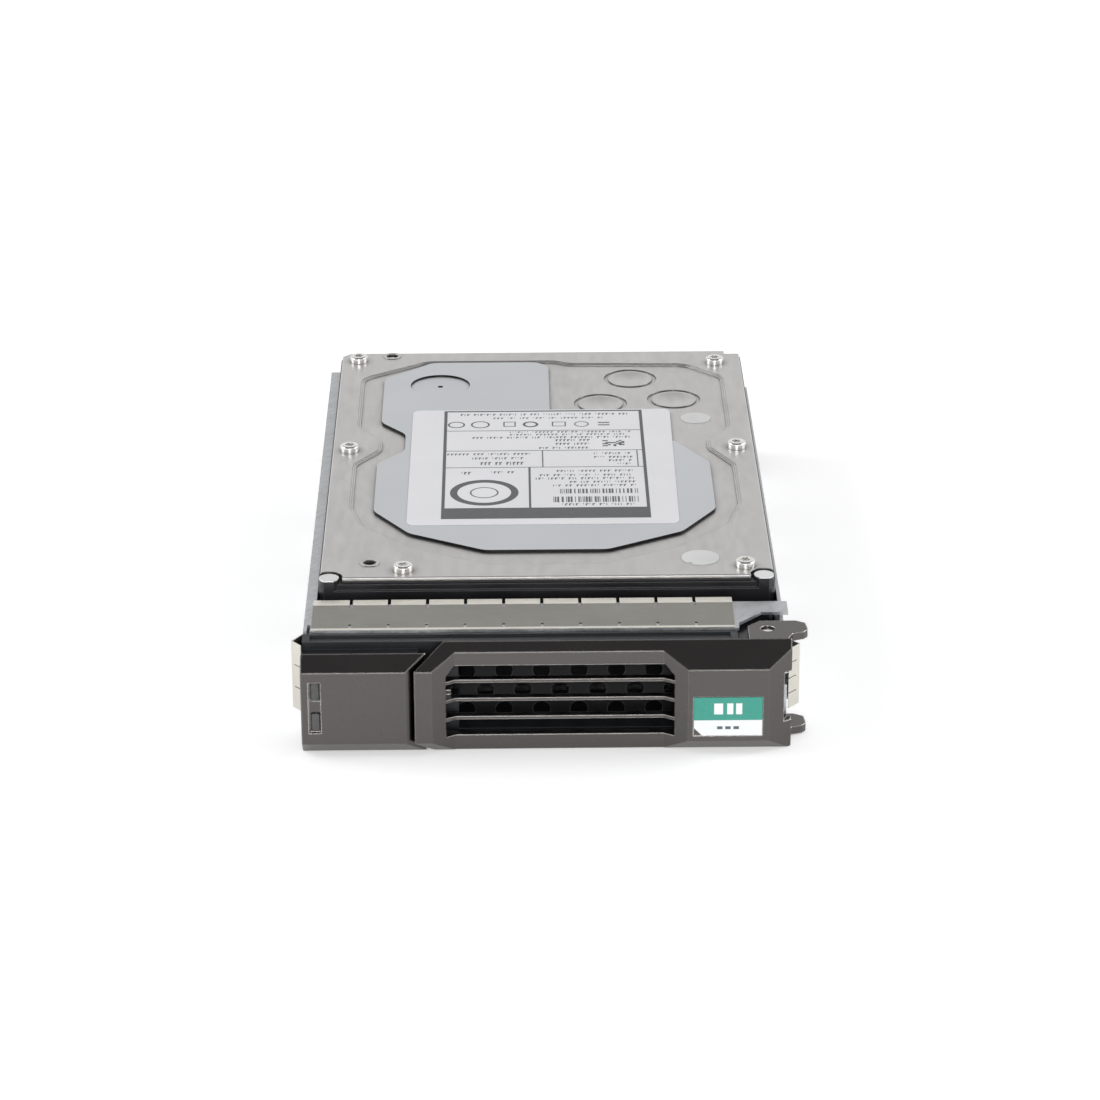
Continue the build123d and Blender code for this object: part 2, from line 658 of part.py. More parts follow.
# ---- carrier: rails and front sheet metal --------------------------------------------
def left_side_rail():
    """An inverted channel: a tall inner wall, a top web and a short outer skirt."""
    x_out = -RAIL_LEFT_OUT_X
    x_in = -RAIL_IN_X
    y0, y1 = RAIL_LEFT_Y
    rail = block(x_in - SHEET_T, x_in, y0, y1, 0, RAIL_TOP_Z)
    rail += block(x_out, x_in, y0, y1, RAIL_TOP_Z - SHEET_T, RAIL_TOP_Z)
    rail += block(x_out, x_out + SHEET_T, y0, y1, 17.0, RAIL_TOP_Z)
    rail += block(x_in - SHEET_T, x_in + RAIL_FLANGE_W, 2, y1, 0, RAIL_FLANGE_T)
    rail -= block(x_out + SHEET_T, x_in - SHEET_T, y0 - 1, y0 + 3.4, RAIL_TOP_Z - SHEET_T - 1, 40)
    return finish_rail(rail, -1)


def right_side_rail():
    y0, y1 = RAIL_RIGHT_Y
    x_in = RAIL_IN_X
    rail = block(x_in, x_in + SHEET_T, y0, y1, 0, RAIL_TOP_Z - SHEET_T)
    rail += block(x_in - RAIL_FLANGE_W, x_in + SHEET_T, 2, y1, 0, RAIL_FLANGE_T)
    rail -= block(x_in - 1, x_in + 2, y0 - 1, -10.5, EAR_TOP[0] - 0.4, 40)
    rail -= block(x_in - 1, x_in + 2, y0 - 1, -10.5, -1, EAR_BOTTOM[1] + 0.4)
    rail -= block(x_in - 1, x_in + 2, y0 - 1, HINGE[1], 13.4, 16.6)
    return finish_rail(rail, 1)


def finish_rail(rail, side):
    """Cut the windows, the screw holes and the access holes, and raise the seats under the drive."""
    for y in (SIDE_HOLE_Y[0], SIDE_HOLE_Y[2]):
        rail -= rod_x(side * RAIL_IN_X - 1.5, side * RAIL_IN_X + 1.5, y, SIDE_HOLE_Z, 1.9)
    for y0 in (28, 60, 92):
        slot = block(side * RAIL_IN_X - 1.5, side * RAIL_IN_X + 1.5, y0, y0 + 16, 5.5, 12.5)
        rail -= fillet(slot.edges().filter_by(Axis.X), 2.0)
    for y in BOTTOM_HOLE_Y:
        rail -= disc((side * BOTTOM_HOLE_X, y), 3.4, -1, RAIL_FLANGE_T + 1)
    for y in (24, 85, 122):
        rail += disc((side * 46.6, y), 2.6, 0.2, DRIVE_Z0)
    for rivet_side, y in RIVETS:
        if rivet_side == side:
            rail -= rivet_shank(side, y, RIVET_R, 1)
    return rail


def front_bracket():
    """The flat plate across the front, notched to clear the swinging ear."""
    z0 = RAIL_TOP_Z - SHEET_T
    y0, y1 = BRACKET_Y
    points = [(-RAIL_IN_X, y0), (41.6, y0), (41.6, -16.9), (46.8, -11.2), (52.8, -11.2), (52.8, y1),
              (-RAIL_IN_X, y1)]
    plate = prism(points, z0, RAIL_TOP_Z)
    plate += block(-49.8, 49.8, y1 - SHEET_T, y1, 19.6, RAIL_TOP_Z)
    plate += block(-RAIL_IN_X, -RAIL_IN_X + SHEET_T, -17.5, y1, 12.0, RAIL_TOP_Z)
    plate += block(RAIL_IN_X - SHEET_T, RAIL_IN_X, -9.5, y1, 12.0, RAIL_TOP_Z)
    for side, y in RIVETS:
        plate -= rivet_shank(side, y, RIVET_R, 1)
    return plate


def rivet_shank(side, y, radius, gap):
    """The stem through the rail and the bracket's tab, with a gap at each end."""
    low, high = sorted((side * (RAIL_IN_X - SHEET_T - gap), side * (RAIL_IN_X + SHEET_T + gap)))
    return rod_x(low, high, y, RIVET_Z, radius)


def bracket_rivets():
    rivets = []
    for side, y in RIVETS:
        rivet = rivet_shank(side, y, RIVET_R, 0)
        for sign, radius in ((1, 1.6), (-1, 1.3)):
            face = side * (RAIL_IN_X + sign * SHEET_T)
            low, high = sorted((face, face + side * sign * 0.5))
            rivet += rod_x(low, high, y, RIVET_Z, radius)
        rivets.append(rivet)
    return rivets


def front_shield():
    """The black perforated plate behind the grille: staggered round holes over a bottom flange."""
    x0, x1 = SHIELD_X
    y0, y1 = SHIELD_Y
    plate = block(x0, x1, y0, y1, 0.4, FRAME_TOP_Z - 0.4)
    for row in range(SHIELD_ROWS):
        z = 5.2 + SHIELD_ROW_PITCH * row
        first_x = -42.5 + SHIELD_PITCH / 2 * (row % 2)
        columns = int((x1 - 3 - first_x) / SHIELD_PITCH) + 1
        for column in range(columns):
            plate -= rod_y(first_x + SHIELD_PITCH * column, y0 - 1, y1 + 1, z, SHIELD_HOLE_R)
    return plate + block(x0, x1, y1 - 0.1, -1.2, 0.4, 1.2)


def emi_spring_top():
    """The segmented contact strip: a flat back step and a long slope to the front edge."""
    base = RAIL_TOP_Z
    x0, x1 = EMI_X
    profile = [(-4.6, base + 0.75), (-7.6, base + 0.8), (-19.0, base + EMI_T), (-19.5, base + EMI_T),
               (-19.5, base), (-19.0, base), (-7.6, base + 0.8 - EMI_T), (-4.75, base + 0.75 - EMI_T),
               (-4.75, base), (-4.6, base)]
    strip = profile_x(profile, x0, x1)
    pitch = (x1 - x0) / EMI_SEGMENTS
    for i in range(1, EMI_SEGMENTS):
        x = x0 + pitch * i
        strip -= block(x - 0.35, x + 0.35, -8.9, -4, base - 0.1, base + 2)
        strip -= block(x - 0.3, x + 0.3, -18.6, -16.6, base - 0.1, base + 2)
    return strip


def side_contact(wall_x, apex, tip, z0, z1, slits):
    """A folded contact sheet: it leaves the wall, bulges to its apex and returns at its slit tip."""
    side = math.copysign(1, apex[0])
    inner_apex = (apex[0] - side * 0.35, apex[1])
    inner_tip = (tip[0] - side * CONTACT_T, tip[1])
    root = (wall_x, CONTACT_ROOT_Y)
    inner_root = (wall_x, CONTACT_ROOT_Y - 0.4)
    sheet = prism([root, apex, tip, inner_tip, inner_apex, inner_root], z0, z1)
    left, right = sorted((apex[0], tip[0]))
    for i in range(1, slits + 1):
        z = z0 + (z1 - z0) * i / (slits + 1)
        sheet -= block(left - 1, right + 1, tip[1] - 1, apex[1] - 0.4, z - SLIT_W / 2, z + SLIT_W / 2)
    return sheet


def emi_spring_left():
    return side_contact(FRAME_X[0], EMI_LEFT_APEX, (-53.65, -26.3), 8.3, 24.0, 2)


def emi_spring_right():
    return side_contact(RAIL_IN_X + SHEET_T, (54.6, -23.0), (52.3, -25.6), 7.8, 22.0, 3)


# ---- carrier: bezel frame, pivot block and catch -------------------------------------
def bezel_frame():
    x0, x1 = FRAME_X
    frame = block(x0, x1, FRAME_FRONT_Y, FRAME_BACK_Y, 0, FRAME_TOP_Z)
    frame -= block(-19.6, 36.0, -40, 0, 3.0, 20.6)
    frame += block(x0, -28.2, BOSS_FRONT_Y, FRAME_FRONT_Y + 0.1, 0, BOSS_TOP_Z)
    frame -= block(x0 + 1.6, x1 - 1.6, -23.9, -20.6, FRAME_TOP_Z - 0.5, 40)
    frame -= block(CATCH_X[0] - BUTTON_TRAVEL - 0.4, -19, CATCH_Y[0] - SLIDE_GAP, CATCH_Y[1] + SLIDE_GAP,
                   CATCH_Z[0] - SLIDE_GAP, CATCH_Z[1] + SLIDE_GAP)
    frame -= rod_x(-49.0, CATCH_X[0], -23.8, 10.0, 1.7)
    frame -= block(-38.3, -31.6, -40, -23, CATCH_Z[0] - SLIDE_GAP, NOSE_Z0 - 0.2)
    frame -= block(-25.6, -19, -40, FRAME_BACK_Y + 0.1, NOSE_Z0 - 0.3, CATCH_Z[1] + 0.3)
    for x, z in POST_AT:
        frame -= rod_y(x, -40, FRAME_BACK_Y + 0.1, z, POST_R + RUNNING_FIT)
    return frame


def latch_catch():
    """The sliding catch: a nose beside the handle's keeper and a 45 degree cam face."""
    x0, x1 = CATCH_X
    y0, y1 = CATCH_Y
    catch = prism([(x0, y0), (x1 - 1.4, y0), (x1, y0 + 1.4), (x1, y1), (x0, y1)], NOSE_Z0, CATCH_Z[1])
    cam_x = -35.0
    catch += prism([(x0, y0), (cam_x, y0), (cam_x + y1 - y0, y1), (x0, y1)], CATCH_Z[0], NOSE_Z0 + 0.1)
    catch -= rod_x(x0 - 1, x0 + 3, -23.8, 10.0, 0.85)
    return catch


def catch_spring():
    return Pos(-48.6, -23.8, 10.0) * Rot(0, 90, 0) * coil_spring(0.9, 0.3, 7.2, 1.1)


def pivot_block():
    """The black block between the handle's ears, which holds the hinge pin."""
    block_body = prism([(41.5, -23.3), (50.85, -23.3), (50.85, -11.0), (48.6, -10.6), (48.6, -7.2),
                        (46.8, -7.2),
                        (41.5, -12.0)], 2.5, 22.5)
    block_body += block(41.3, 42.6, FRAME_FRONT_Y + 0.6, -18.0, 2.5, 22.5)
    block_body -= block(46.5, 52, -16.6, -9.6, 20.6, 30)
    block_body -= disc(HINGE, 3.4, 8.0, 17.0)
    block_body -= block(HINGE[0] - 0.6, 52, HINGE[1] - 3.4, HINGE[1] + 3.4, 8.0, 17.0)
    block_body -= disc(HINGE, HINGE_PIN_R, 0, 40)
    return block_body


def handle_pin():
    pin = disc(HINGE, HINGE_PIN_R, EAR_BOTTOM[0], EAR_TOP[1] - 0.5)
    return chamfer(pin.edges().sort_by(Axis.Z)[-1], 0.3)


def handle_spring():
    x, y = HINGE
    coils = Pos(x, y, 9.6) * coil_spring(2.3, 0.6, 5.4, 0.9)
    leg = rod_x(x + 1.9, 53.0, y - 2.0, 15.0, 0.3)
    return coils + leg


# ---- carrier: handle and button ------------------------------------------------------
def shoulder_cut():
    """Everything above the 45 degree shoulder that runs along the top of the front."""
    drop = 3.0
    slope = [(FRONT_Y - drop, SHOULDER_Z - drop), (FRONT_Y + 8, SHOULDER_Z + 8), (FRONT_Y - drop, 40)]
    return profile_x(slope, -70, 70)


def sill_cut():
    """Everything below the chamfer that runs along the bottom of the front."""
    rise = CHAMFER_Z / -CHAMFER_Y
    slope = [(GRILLE_Y, 0), (FRONT_Y - 2, CHAMFER_Z + 2 * rise), (FRONT_Y - 2, -2), (GRILLE_Y, -2)]
    return profile_x(slope, -70, 70)


def soften_front(shape, back_y):
    """Round every edge that reaches forward of the back plane."""
    edges = [e for e in shape.edges() if min(v.Y for v in e.vertices()) < back_y - 0.05]
    return fillet(edges, EDGE_R)


def ear(z0, z1):
    """A hinge ear with its chassis hook."""
    plan = [(43.4, -27.2), (43.4, -19.4), (46.2, -16.5), (54.0, -16.5), (56.1, -17.8), (HOOK_TIP_X, -21.3),
            (55.4, -22.6), (53.0, -23.4), (52.0, -25.6), (51.8, -27.2)]
    plate = prism(plan, z0, z1)
    uprights = [e for e in plate.edges().filter_by(Axis.Z) if e.center().Y > -24]
    return fillet(uprights, 0.8)


def handle():
    """The swinging handle: faceted front, louvred grille, two ears with hooks and the keeper."""
    left_x = -29.7
    depth = BAR_BACK_Y - FRONT_Y
    plan = [(left_x, FRONT_Y), (-25.3, FRONT_Y), (-20.2, GRILLE_Y), (24.8, GRILLE_Y), (30.1, FRONT_Y)]
    plan += [(47.5, FRONT_Y), (HANDLE_RIGHT_X, -28.5), (HANDLE_RIGHT_X, BAR_BACK_Y)]
    plan += [(left_x + depth / END_SLOPE - 0.5, BAR_BACK_Y)]
    bar = soften_front(prism(plan, 0, 25.0) - shoulder_cut() - sill_cut(), BAR_BACK_Y)
    hollow = profile_x([(-25, 1.4), (-28.9, 1.4), (-30.5, 3.6), (-30.5, 19.8), (-25, 25.3)], 31.5, 60)
    corner = [(31.5, -30.5), (47.0, -30.5), (52.6, -26.66), (54, -26.0), (54, -25), (31.5, -25)]
    hollow &= prism(corner, 1.4, 22.4)
    bar -= hollow
    bar -= grille_windows()
    bar -= block(50.9, 60, -40, -25, 6.5, 18.1)
    bar += ear(*EAR_TOP)
    bar += ear(*EAR_BOTTOM)
    bar -= disc(HINGE, HINGE_PIN_R + RUNNING_FIT, -1, 40)
    bar += block(-23.0, -21.2, BAR_BACK_Y - 0.1, -20.1, NOSE_Z0, CATCH_Z[1])
    bar += block(KEEPER_TIP_X, -21.2, -22.5, -20.1, NOSE_Z0, CATCH_Z[1])
    return bar - block(31.2, 46.2, FRONT_Y - 1, FRONT_Y + 0.1, 4.3, 13.5)


def grille_windows():
    """The four slots between the louvres, the top one with cut corners."""
    x0, x1 = GRILLE_X
    z0, z1 = GRILLE_Z
    edge = [(x0, z0), (x1, z0), (x1, z1 - 2.1), (x1 - 2.0, z1), (x0 + 1.8, z1), (x0, z1 - 2.1)]
    opening = profile_y(edge, -40, -20)
    for z in SLAT_Z:
        opening -= block(x0 - 1, x1 + 1, -41, -19, z, z + SLAT_T)
    return opening


def capacity_label():
    points = [(33.1, 4.4), (46.1, 4.4), (46.1, 13.4), (31.3, 13.4), (31.3, 6.2)]
    return profile_y(points, FRONT_Y - 0.02, FRONT_Y + 0.1)


def release_button():
    """The push button: a shell with the same shoulder and sill, guide posts and a cam wedge."""
    right_x = -31.0
    plan = [(BUTTON_LEFT_X, FRONT_Y), (right_x, FRONT_Y), (right_x + 3.2 / END_SLOPE, GRILLE_Y),
            (BUTTON_LEFT_X, GRILLE_Y)]
    button = soften_front(prism(plan, 0, 25.0) - shoulder_cut() - sill_cut(), GRILLE_Y)
    hollow = [(-28, 1.5), (-29.4, 1.5), (-30.5, 3.6), (-30.5, 19.6), (-28, 22.0)]
    button -= profile_x(hollow, BUTTON_LEFT_X + SHELL_T, -32.0)
    for x, z in POST_AT:
        button += rod_y(x, -31.0, FRAME_BACK_Y - BUTTON_TRAVEL - 0.3, z, POST_R)
    wedge = [(-34.5, -24.6), (-32.0, -24.6), (-32.0, -31.0), (-38.0, -31.0), (-38.0, -28.1)]
    button += prism(wedge, CATCH_Z[0] + 0.2, NOSE_Z0 - 0.4)
    button -= block(WINDOW_X[0], WINDOW_X[1], -40, WINDOW_BACK_Y, WINDOW_Z[0], WINDOW_Z[1])
    for z0, z1 in PIPE_Z:
        button -= block(PIPE_X[0], PIPE_X[1], -32, -28, z0, z1)
    return button


def light_pipe(z0, z1):
    x0, x1 = PIPE_X
    pipe = block(x0 + PIPE_GAP, x1 - PIPE_GAP, PIPE_FRONT_Y, -28.4, z0 + PIPE_GAP, z1 - PIPE_GAP)
    return fillet(pipe.edges().filter_by(Axis.Y), 0.3)


def button_springs():
    springs = []
    for x, z in POST_AT:
        springs.append(Pos(x, -29.8, z) * Rot(-90, 0, 0) * coil_spring(1.95, 0.35, 3.3, 1.1))
    return springs


def drive_mount_screws():
    """The flat-headed screws through the rails into the drive's sides."""
    screws = []
    for side in (-1, 1):
        for y in (SIDE_HOLE_Y[0], SIDE_HOLE_Y[2]):
            x_head = side * (RAIL_IN_X + SHEET_T)
            head = sorted((x_head, x_head + side * 0.9))
            screw = rod_x(head[0], head[1], y, SIDE_HOLE_Z, 3.0)
            socket = sorted((x_head + side * 0.3, x_head + side * 2))
            screw -= block(socket[0], socket[1], y - 1.6, y + 1.6, SIDE_HOLE_Z - 0.3, SIDE_HOLE_Z + 0.3)
            screw -= block(socket[0], socket[1], y - 0.3, y + 0.3, SIDE_HOLE_Z - 1.6, SIDE_HOLE_Z + 1.6)
            shank = sorted((side * 47.6, x_head))
            screw += rod_x(shank[0], shank[1], y, SIDE_HOLE_Z, MOUNT_HOLE_R - 0.02)
            screws.append(screw)
    return screws


# ---- write every node ----------------------------------------------------------------
save("base_casting", base_casting())
save("top_cover", top_cover())
save("cover_gasket", cover_gasket())
save("damping_plate", damping_plate())
save("drive_label", drive_label())
save("seal_stickers", *seal_stickers())
save("cover_screws", *cover_screws())
save("breather_filter", breather_filter())
save("recirculation_filter", recirculation_filter())
save("spindle_sleeve", spindle_sleeve())
save("spindle_shaft", spindle_shaft())
save("stator_core", stator_core())
save("stator_coils", *stator_coils())
save("rotor_magnet", rotor_magnet())
save("spindle_hub", spindle_hub())
for number in range(3):
    save(f"platter_{number + 1}", platter(number))
save("spacer_rings", *spacer_rings())
save("disk_clamp", disk_clamp())
save("clamp_screws", *clamp_screws())
save("pivot_shaft", pivot_shaft())
save("pivot_bearing", pivot_bearing())
save("head_arm", head_arm())
save("voice_coil", voice_coil())
save("suspensions", *suspensions())
save("head_sliders", *head_sliders())
save("load_ramp", load_ramp())
save("lower_yoke", lower_yoke())
save("upper_yoke", upper_yoke())
save("yoke_screws", *yoke_screws())
save("coil_magnets", *coil_magnets())
save("flex_connector", flex_connector())
save("flex_cable", flex_cable())
save("circuit_board", circuit_board())
save("board_chips", *board_chips())
save("board_screws", *board_screws())
save("data_connector", data_connector())
save("connector_contacts", *connector_contacts())
save("left_side_rail", left_side_rail())
save("right_side_rail", right_side_rail())
save("front_bracket", front_bracket())
save("bracket_rivets", *bracket_rivets())
save("front_shield", front_shield())
save("emi_spring_top", emi_spring_top())
save("emi_spring_left", emi_spring_left())
save("emi_spring_right", emi_spring_right())
save("bezel_frame", bezel_frame())
save("latch_catch", latch_catch())
save("catch_spring", catch_spring())
save("pivot_block", pivot_block())
save("handle_pin", handle_pin())
save("handle_spring", handle_spring())
save("handle", handle())
save("capacity_label", capacity_label())
save("release_button", release_button())
for name, span in zip(("light_pipe_lower", "light_pipe_upper"), PIPE_Z):
    save(name, light_pipe(*span))
save("button_springs", *button_springs())
save("drive_mount_screws", *drive_mount_screws())
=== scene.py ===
import bmesh
import bpy
import json
import math
import random
from mathutils import Matrix, Vector


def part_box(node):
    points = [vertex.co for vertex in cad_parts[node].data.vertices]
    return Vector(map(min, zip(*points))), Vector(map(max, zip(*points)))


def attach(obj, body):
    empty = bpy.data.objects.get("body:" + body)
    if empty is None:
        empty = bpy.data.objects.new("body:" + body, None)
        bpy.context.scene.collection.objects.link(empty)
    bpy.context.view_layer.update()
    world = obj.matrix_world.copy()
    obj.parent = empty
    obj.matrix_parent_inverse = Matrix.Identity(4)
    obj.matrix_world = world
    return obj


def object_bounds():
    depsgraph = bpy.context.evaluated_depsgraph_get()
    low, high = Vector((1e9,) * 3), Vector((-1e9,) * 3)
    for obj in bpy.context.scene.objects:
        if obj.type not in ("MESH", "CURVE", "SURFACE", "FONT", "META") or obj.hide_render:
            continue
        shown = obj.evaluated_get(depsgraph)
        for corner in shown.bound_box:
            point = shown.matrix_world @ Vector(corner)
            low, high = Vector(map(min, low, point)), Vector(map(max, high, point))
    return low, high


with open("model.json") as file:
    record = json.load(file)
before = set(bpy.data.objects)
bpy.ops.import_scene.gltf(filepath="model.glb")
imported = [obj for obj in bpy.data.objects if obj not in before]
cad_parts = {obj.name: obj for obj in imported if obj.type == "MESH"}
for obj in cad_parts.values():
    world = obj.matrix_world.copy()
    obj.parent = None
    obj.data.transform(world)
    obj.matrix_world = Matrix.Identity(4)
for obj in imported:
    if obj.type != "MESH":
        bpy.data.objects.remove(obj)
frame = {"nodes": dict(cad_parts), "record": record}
cad_low, cad_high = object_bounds()

# ---- places and sizes, in metres -------------------------------------------------------
MM = 0.001
NODES = frame["nodes"]
RECORD = frame["record"]
BASE = {entry["slot"]: tuple(entry["base_color"][:3]) for entry in RECORD["materials"]}
SLOT_OF = {entry["node"]: entry["material_slot"] for entry in RECORD["subparts"]}
CASTING_LOW, CASTING_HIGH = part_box("base_casting")
DRIVE_X = (CASTING_LOW.x + CASTING_HIGH.x) / 2
DRIVE_Y = CASTING_LOW.y
INK_T = 0.02 * MM

# the contact strip: how far the painted highlights on its toe and heel reach from its front and back edges;
# between them the strip gets painted shade
STRIP_LOW, STRIP_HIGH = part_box("emi_spring_top")
STRIP_TOE = 0.9 * MM
STRIP_HEEL = 3.0 * MM

# the casting's machined pads stand at its very top
PAD_DEPTH = 0.3 * MM
PAD_COLOUR = (0.8, 0.8, 0.8, 1.0)

# the printed table on the drive's label, in millimetres on the drive's plan
LABEL_X = (-24.0, 24.3)
LABEL_Y = (34.5, 104.0)
LABEL_BORDER = 0.75
HEADER_Y = 41.0
ROWS_Y = [66.2, 77.0, 90.3]
LINE = 0.28

# the room
FLOOR_HALF = 3.0
FLOOR_GLOW = 0.4
FLOOR_SHADE = 4.0 * MM
CAMERA_AT = Vector((-7.65, -873.8, 378.3)) * MM
CAMERA_LENS = 131.2
CAMERA_YAW = math.radians(0.56)
CAMERA_PITCH = math.radians(22.82)
CAMERA_ROLL = math.radians(-0.27)


# ---- materials: a small kit -------------------------------------------------------------
def tint(colour, factor):
    """The colour made lighter or darker, with its alpha."""
    return tuple(min(1.0, channel * factor) for channel in colour) + (1.0,)


class Surface:
    """One procedural material: a Principled shader and the texture nodes that feed it."""

    def __init__(self, name, metallic=0.0, roughness=0.5):
        self.material = bpy.data.materials.new(name)
        self.material.use_nodes = True
        self.nodes = self.material.node_tree.nodes
        self.links = self.material.node_tree.links
        self.shader = self.nodes["Principled BSDF"]
        self.set("Metallic", metallic)
        self.set("Roughness", roughness)
        self.place = self.add("ShaderNodeTexCoord").outputs["Object"]
        self.normal = None

    def set(self, socket, value):
        """Sets one of the shader's own inputs."""
        self.shader.inputs[socket].default_value = value

    def add(self, kind, inputs=None, **settings):
        """A node with its settings, and its inputs set to values or linked from sockets."""
        node = self.nodes.new(kind)
        for key, value in settings.items():
            setattr(node, key, value)
        for key, value in (inputs or {}).items():
            if isinstance(value, bpy.types.NodeSocket):
                self.links.new(value, node.inputs[key])
            else:
                node.inputs[key].default_value = value
        return node

    def stretched(self, scale):
        """The place on the part, scaled by axis."""
        return self.add("ShaderNodeMapping", {"Vector": self.place, "Scale": scale}).outputs[0]

    def noise(self, size, detail=2.0, stretch=(1, 1, 1)):
        """Soft noise whose features are about size metres across."""
        inputs = {"Vector": self.stretched(stretch), "Scale": 1 / size, "Detail": detail}
        return self.add("ShaderNodeTexNoise", inputs).outputs[0]

    def wiped(self, size):
        """Streaks that run slantwise across the part, as a cloth leaves them."""
        turned = self.add("ShaderNodeMapping", {"Vector": self.place, "Rotation": (0, 0, math.radians(35))})
        drawn = self.add("ShaderNodeMapping", {"Vector": turned.outputs[0], "Scale": (1, 0.15, 1)})
        inputs = {"Vector": drawn.outputs[0], "Scale": 1 / size, "Detail": 4.0}
        return self.add("ShaderNodeTexNoise", inputs).outputs[0]

    def cells(self, size, feature="F1", output=0):
        """Cells about size metres across: their distance, or with output 1 a tone for each."""
        inputs = {"Vector": self.place, "Scale": 1 / size}
        return self.add("ShaderNodeTexVoronoi", inputs, feature=feature).outputs[output]

    def bands(self, pitch):
        """Level bands that repeat up Z at the pitch."""
        inputs = {"Vector": self.place, "Scale": math.pi / 10 / pitch}
        return self.add("ShaderNodeTexWave", inputs, bands_direction="Z").outputs[1]

    def spread(self, value, low, high, start=0.3, end=0.7):
        """The value carried from start..end to low..high."""
        inputs = {"Value": value, "From Min": start, "From Max": end, "To Min": low, "To Max": high}
        return self.add("ShaderNodeMapRange", inputs).outputs[0]

    def maths(self, operation, first, second=0.0):
        """One arithmetic node over values or sockets."""
        return self.add("ShaderNodeMath", {0: first, 1: second}, operation=operation).outputs[0]

    def axis(self, name):
        """One coordinate of the place on the part, in metres."""
        return self.add("ShaderNodeSeparateXYZ", {0: self.place}).outputs[name]

    def blend(self, factor, first, second):
        """Mixes two colours, given as values or sockets."""
        return self.add("ShaderNodeMix", {0: factor, 6: first, 7: second}, data_type="RGBA").outputs[2]

    def colour(self, socket):
        self.links.new(socket, self.shader.inputs["Base Color"])

    def rough(self, socket):
        self.links.new(socket, self.shader.inputs["Roughness"])

    def soften(self, radius):
        """Rounds the look of every edge by the radius, and returns how near an edge a point is."""
        bevel = self.add("ShaderNodeBevel", {"Radius": radius}, samples=4)
        self.normal = bevel.outputs[0]
        true = self.add("ShaderNodeNewGeometry").outputs["True Normal"]
        facing = self.add("ShaderNodeVectorMath", {0: self.normal, 1: true}, operation="DOT_PRODUCT")
        return self.spread(facing.outputs["Value"], 1.0, 0.0, 0.82, 0.998)

    def painted_occlusion_shade(self, paint, reach):
        """Painted shade: the paint darkened towards dark grey where other surfaces crowd it within the
        reach.
        """
        occlusion = self.add("ShaderNodeAmbientOcclusion", {"Distance": reach}, samples=6)
        openness = self.spread(occlusion.outputs["AO"], 0.0, 1.0, 0.35, 0.95)
        return self.blend(openness, (0.1, 0.1, 0.1, 1.0), paint)

    def bump(self, height, depth):
        """Raises the look of the surface by a height from 0 to 1, depth metres at full height."""
        inputs = {"Height": height, "Distance": depth, "Strength": 1.0}
        if self.normal is not None:
            inputs["Normal"] = self.normal
        self.normal = self.add("ShaderNodeBump", inputs).outputs[0]

    def done(self):
        """Joins the last normal to the shader and gives the material back."""
        if self.normal is not None:
            self.links.new(self.normal, self.shader.inputs["Normal"])
        return self.material


def metal(slot, roughness, grain=0.15 * MM, stretch=(1, 1, 1), contrast=0.05):
    """Plain metal: directional grain, slow patches of tone and roughness, and soft edges with a painted
    highlight along them.
    """
    surface = Surface(slot, metallic=1.0)
    fine = surface.noise(grain, 3.0, stretch)
    slow = surface.noise(9 * MM, 4.0)
    near_edge = surface.soften(0.12 * MM)
    mix = surface.maths("ADD", slow, surface.maths("MULTIPLY", fine, 0.4))
    tone = surface.spread(mix, 0.0, 1.0, 0.4, 1.0)
    body = surface.blend(tone, tint(BASE[slot], 1 - contrast), tint(BASE[slot], 1 + contrast))
    # painted highlight: the colour lightened towards 1.25 times the base near every edge
    surface.colour(surface.blend(surface.maths("MULTIPLY", near_edge, 0.5), body, tint(BASE[slot], 1.25)))
    surface.rough(surface.spread(slow, roughness - 0.05, roughness + 0.06))
    surface.bump(fine, 0.004 * MM)
    return surface


def moulded(slot, roughness, grain=0.25 * MM, edge=0.15 * MM, lightening=1.8, tone=1.0):
    """Moulded plastic or paint: a fine even texture, faint mottling, and edges lightened partly as rubbing
    wear and partly as a painted highlight.
    """
    base = tint(BASE[slot], tone)[:3]
    surface = Surface(slot)
    fine = surface.noise(grain, 2.0)
    slow = surface.noise(14 * MM, 3.0)
    near_edge = surface.soften(edge)
    body = surface.blend(surface.spread(slow, 0.0, 1.0), tint(base, 0.9), tint(base, 1.12))
    # edges lightened by the given factor: partly rubbing wear, partly a painted highlight
    surface.colour(surface.blend(surface.maths("MULTIPLY", near_edge, 0.4), body, tint(base, lightening)))
    surface.rough(surface.spread(slow, roughness - 0.05, roughness + 0.07))
    surface.bump(fine, 0.006 * MM)
    return surface


def galvanised_steel():
    """Zinc-coated sheet: pale spangle with fine rolling lines along the rails."""
    surface = Surface("galvanised_steel", metallic=1.0)
    spangle = surface.add("ShaderNodeSeparateXYZ", {0: surface.cells(2.6 * MM, output=1)}).outputs[0]
    lines = surface.wiped(0.9 * MM)
    dust = surface.noise(6 * MM, 5.0)
    near_edge = surface.soften(0.12 * MM)
    mix = surface.maths("MULTIPLY", spangle, 0.18)
    mix = surface.maths("ADD", mix, surface.maths("MULTIPLY", lines, 0.65))
    mix = surface.maths("ADD", mix, surface.maths("MULTIPLY", dust, 0.5))
    base = BASE["galvanised_steel"]
    body = surface.blend(surface.spread(mix, 0.0, 1.0, 0.35, 0.95), tint(base, 0.62), tint(base, 1.05))
    # painted highlight: the colour lightened towards 1.3 times the base near every edge
    surface.colour(surface.blend(surface.maths("MULTIPLY", near_edge, 0.6), body, tint(base, 1.3)))
    surface.rough(surface.spread(mix, 0.34, 0.5, 0.35, 0.95))
    surface.bump(lines, 0.006 * MM)
    return surface.done()


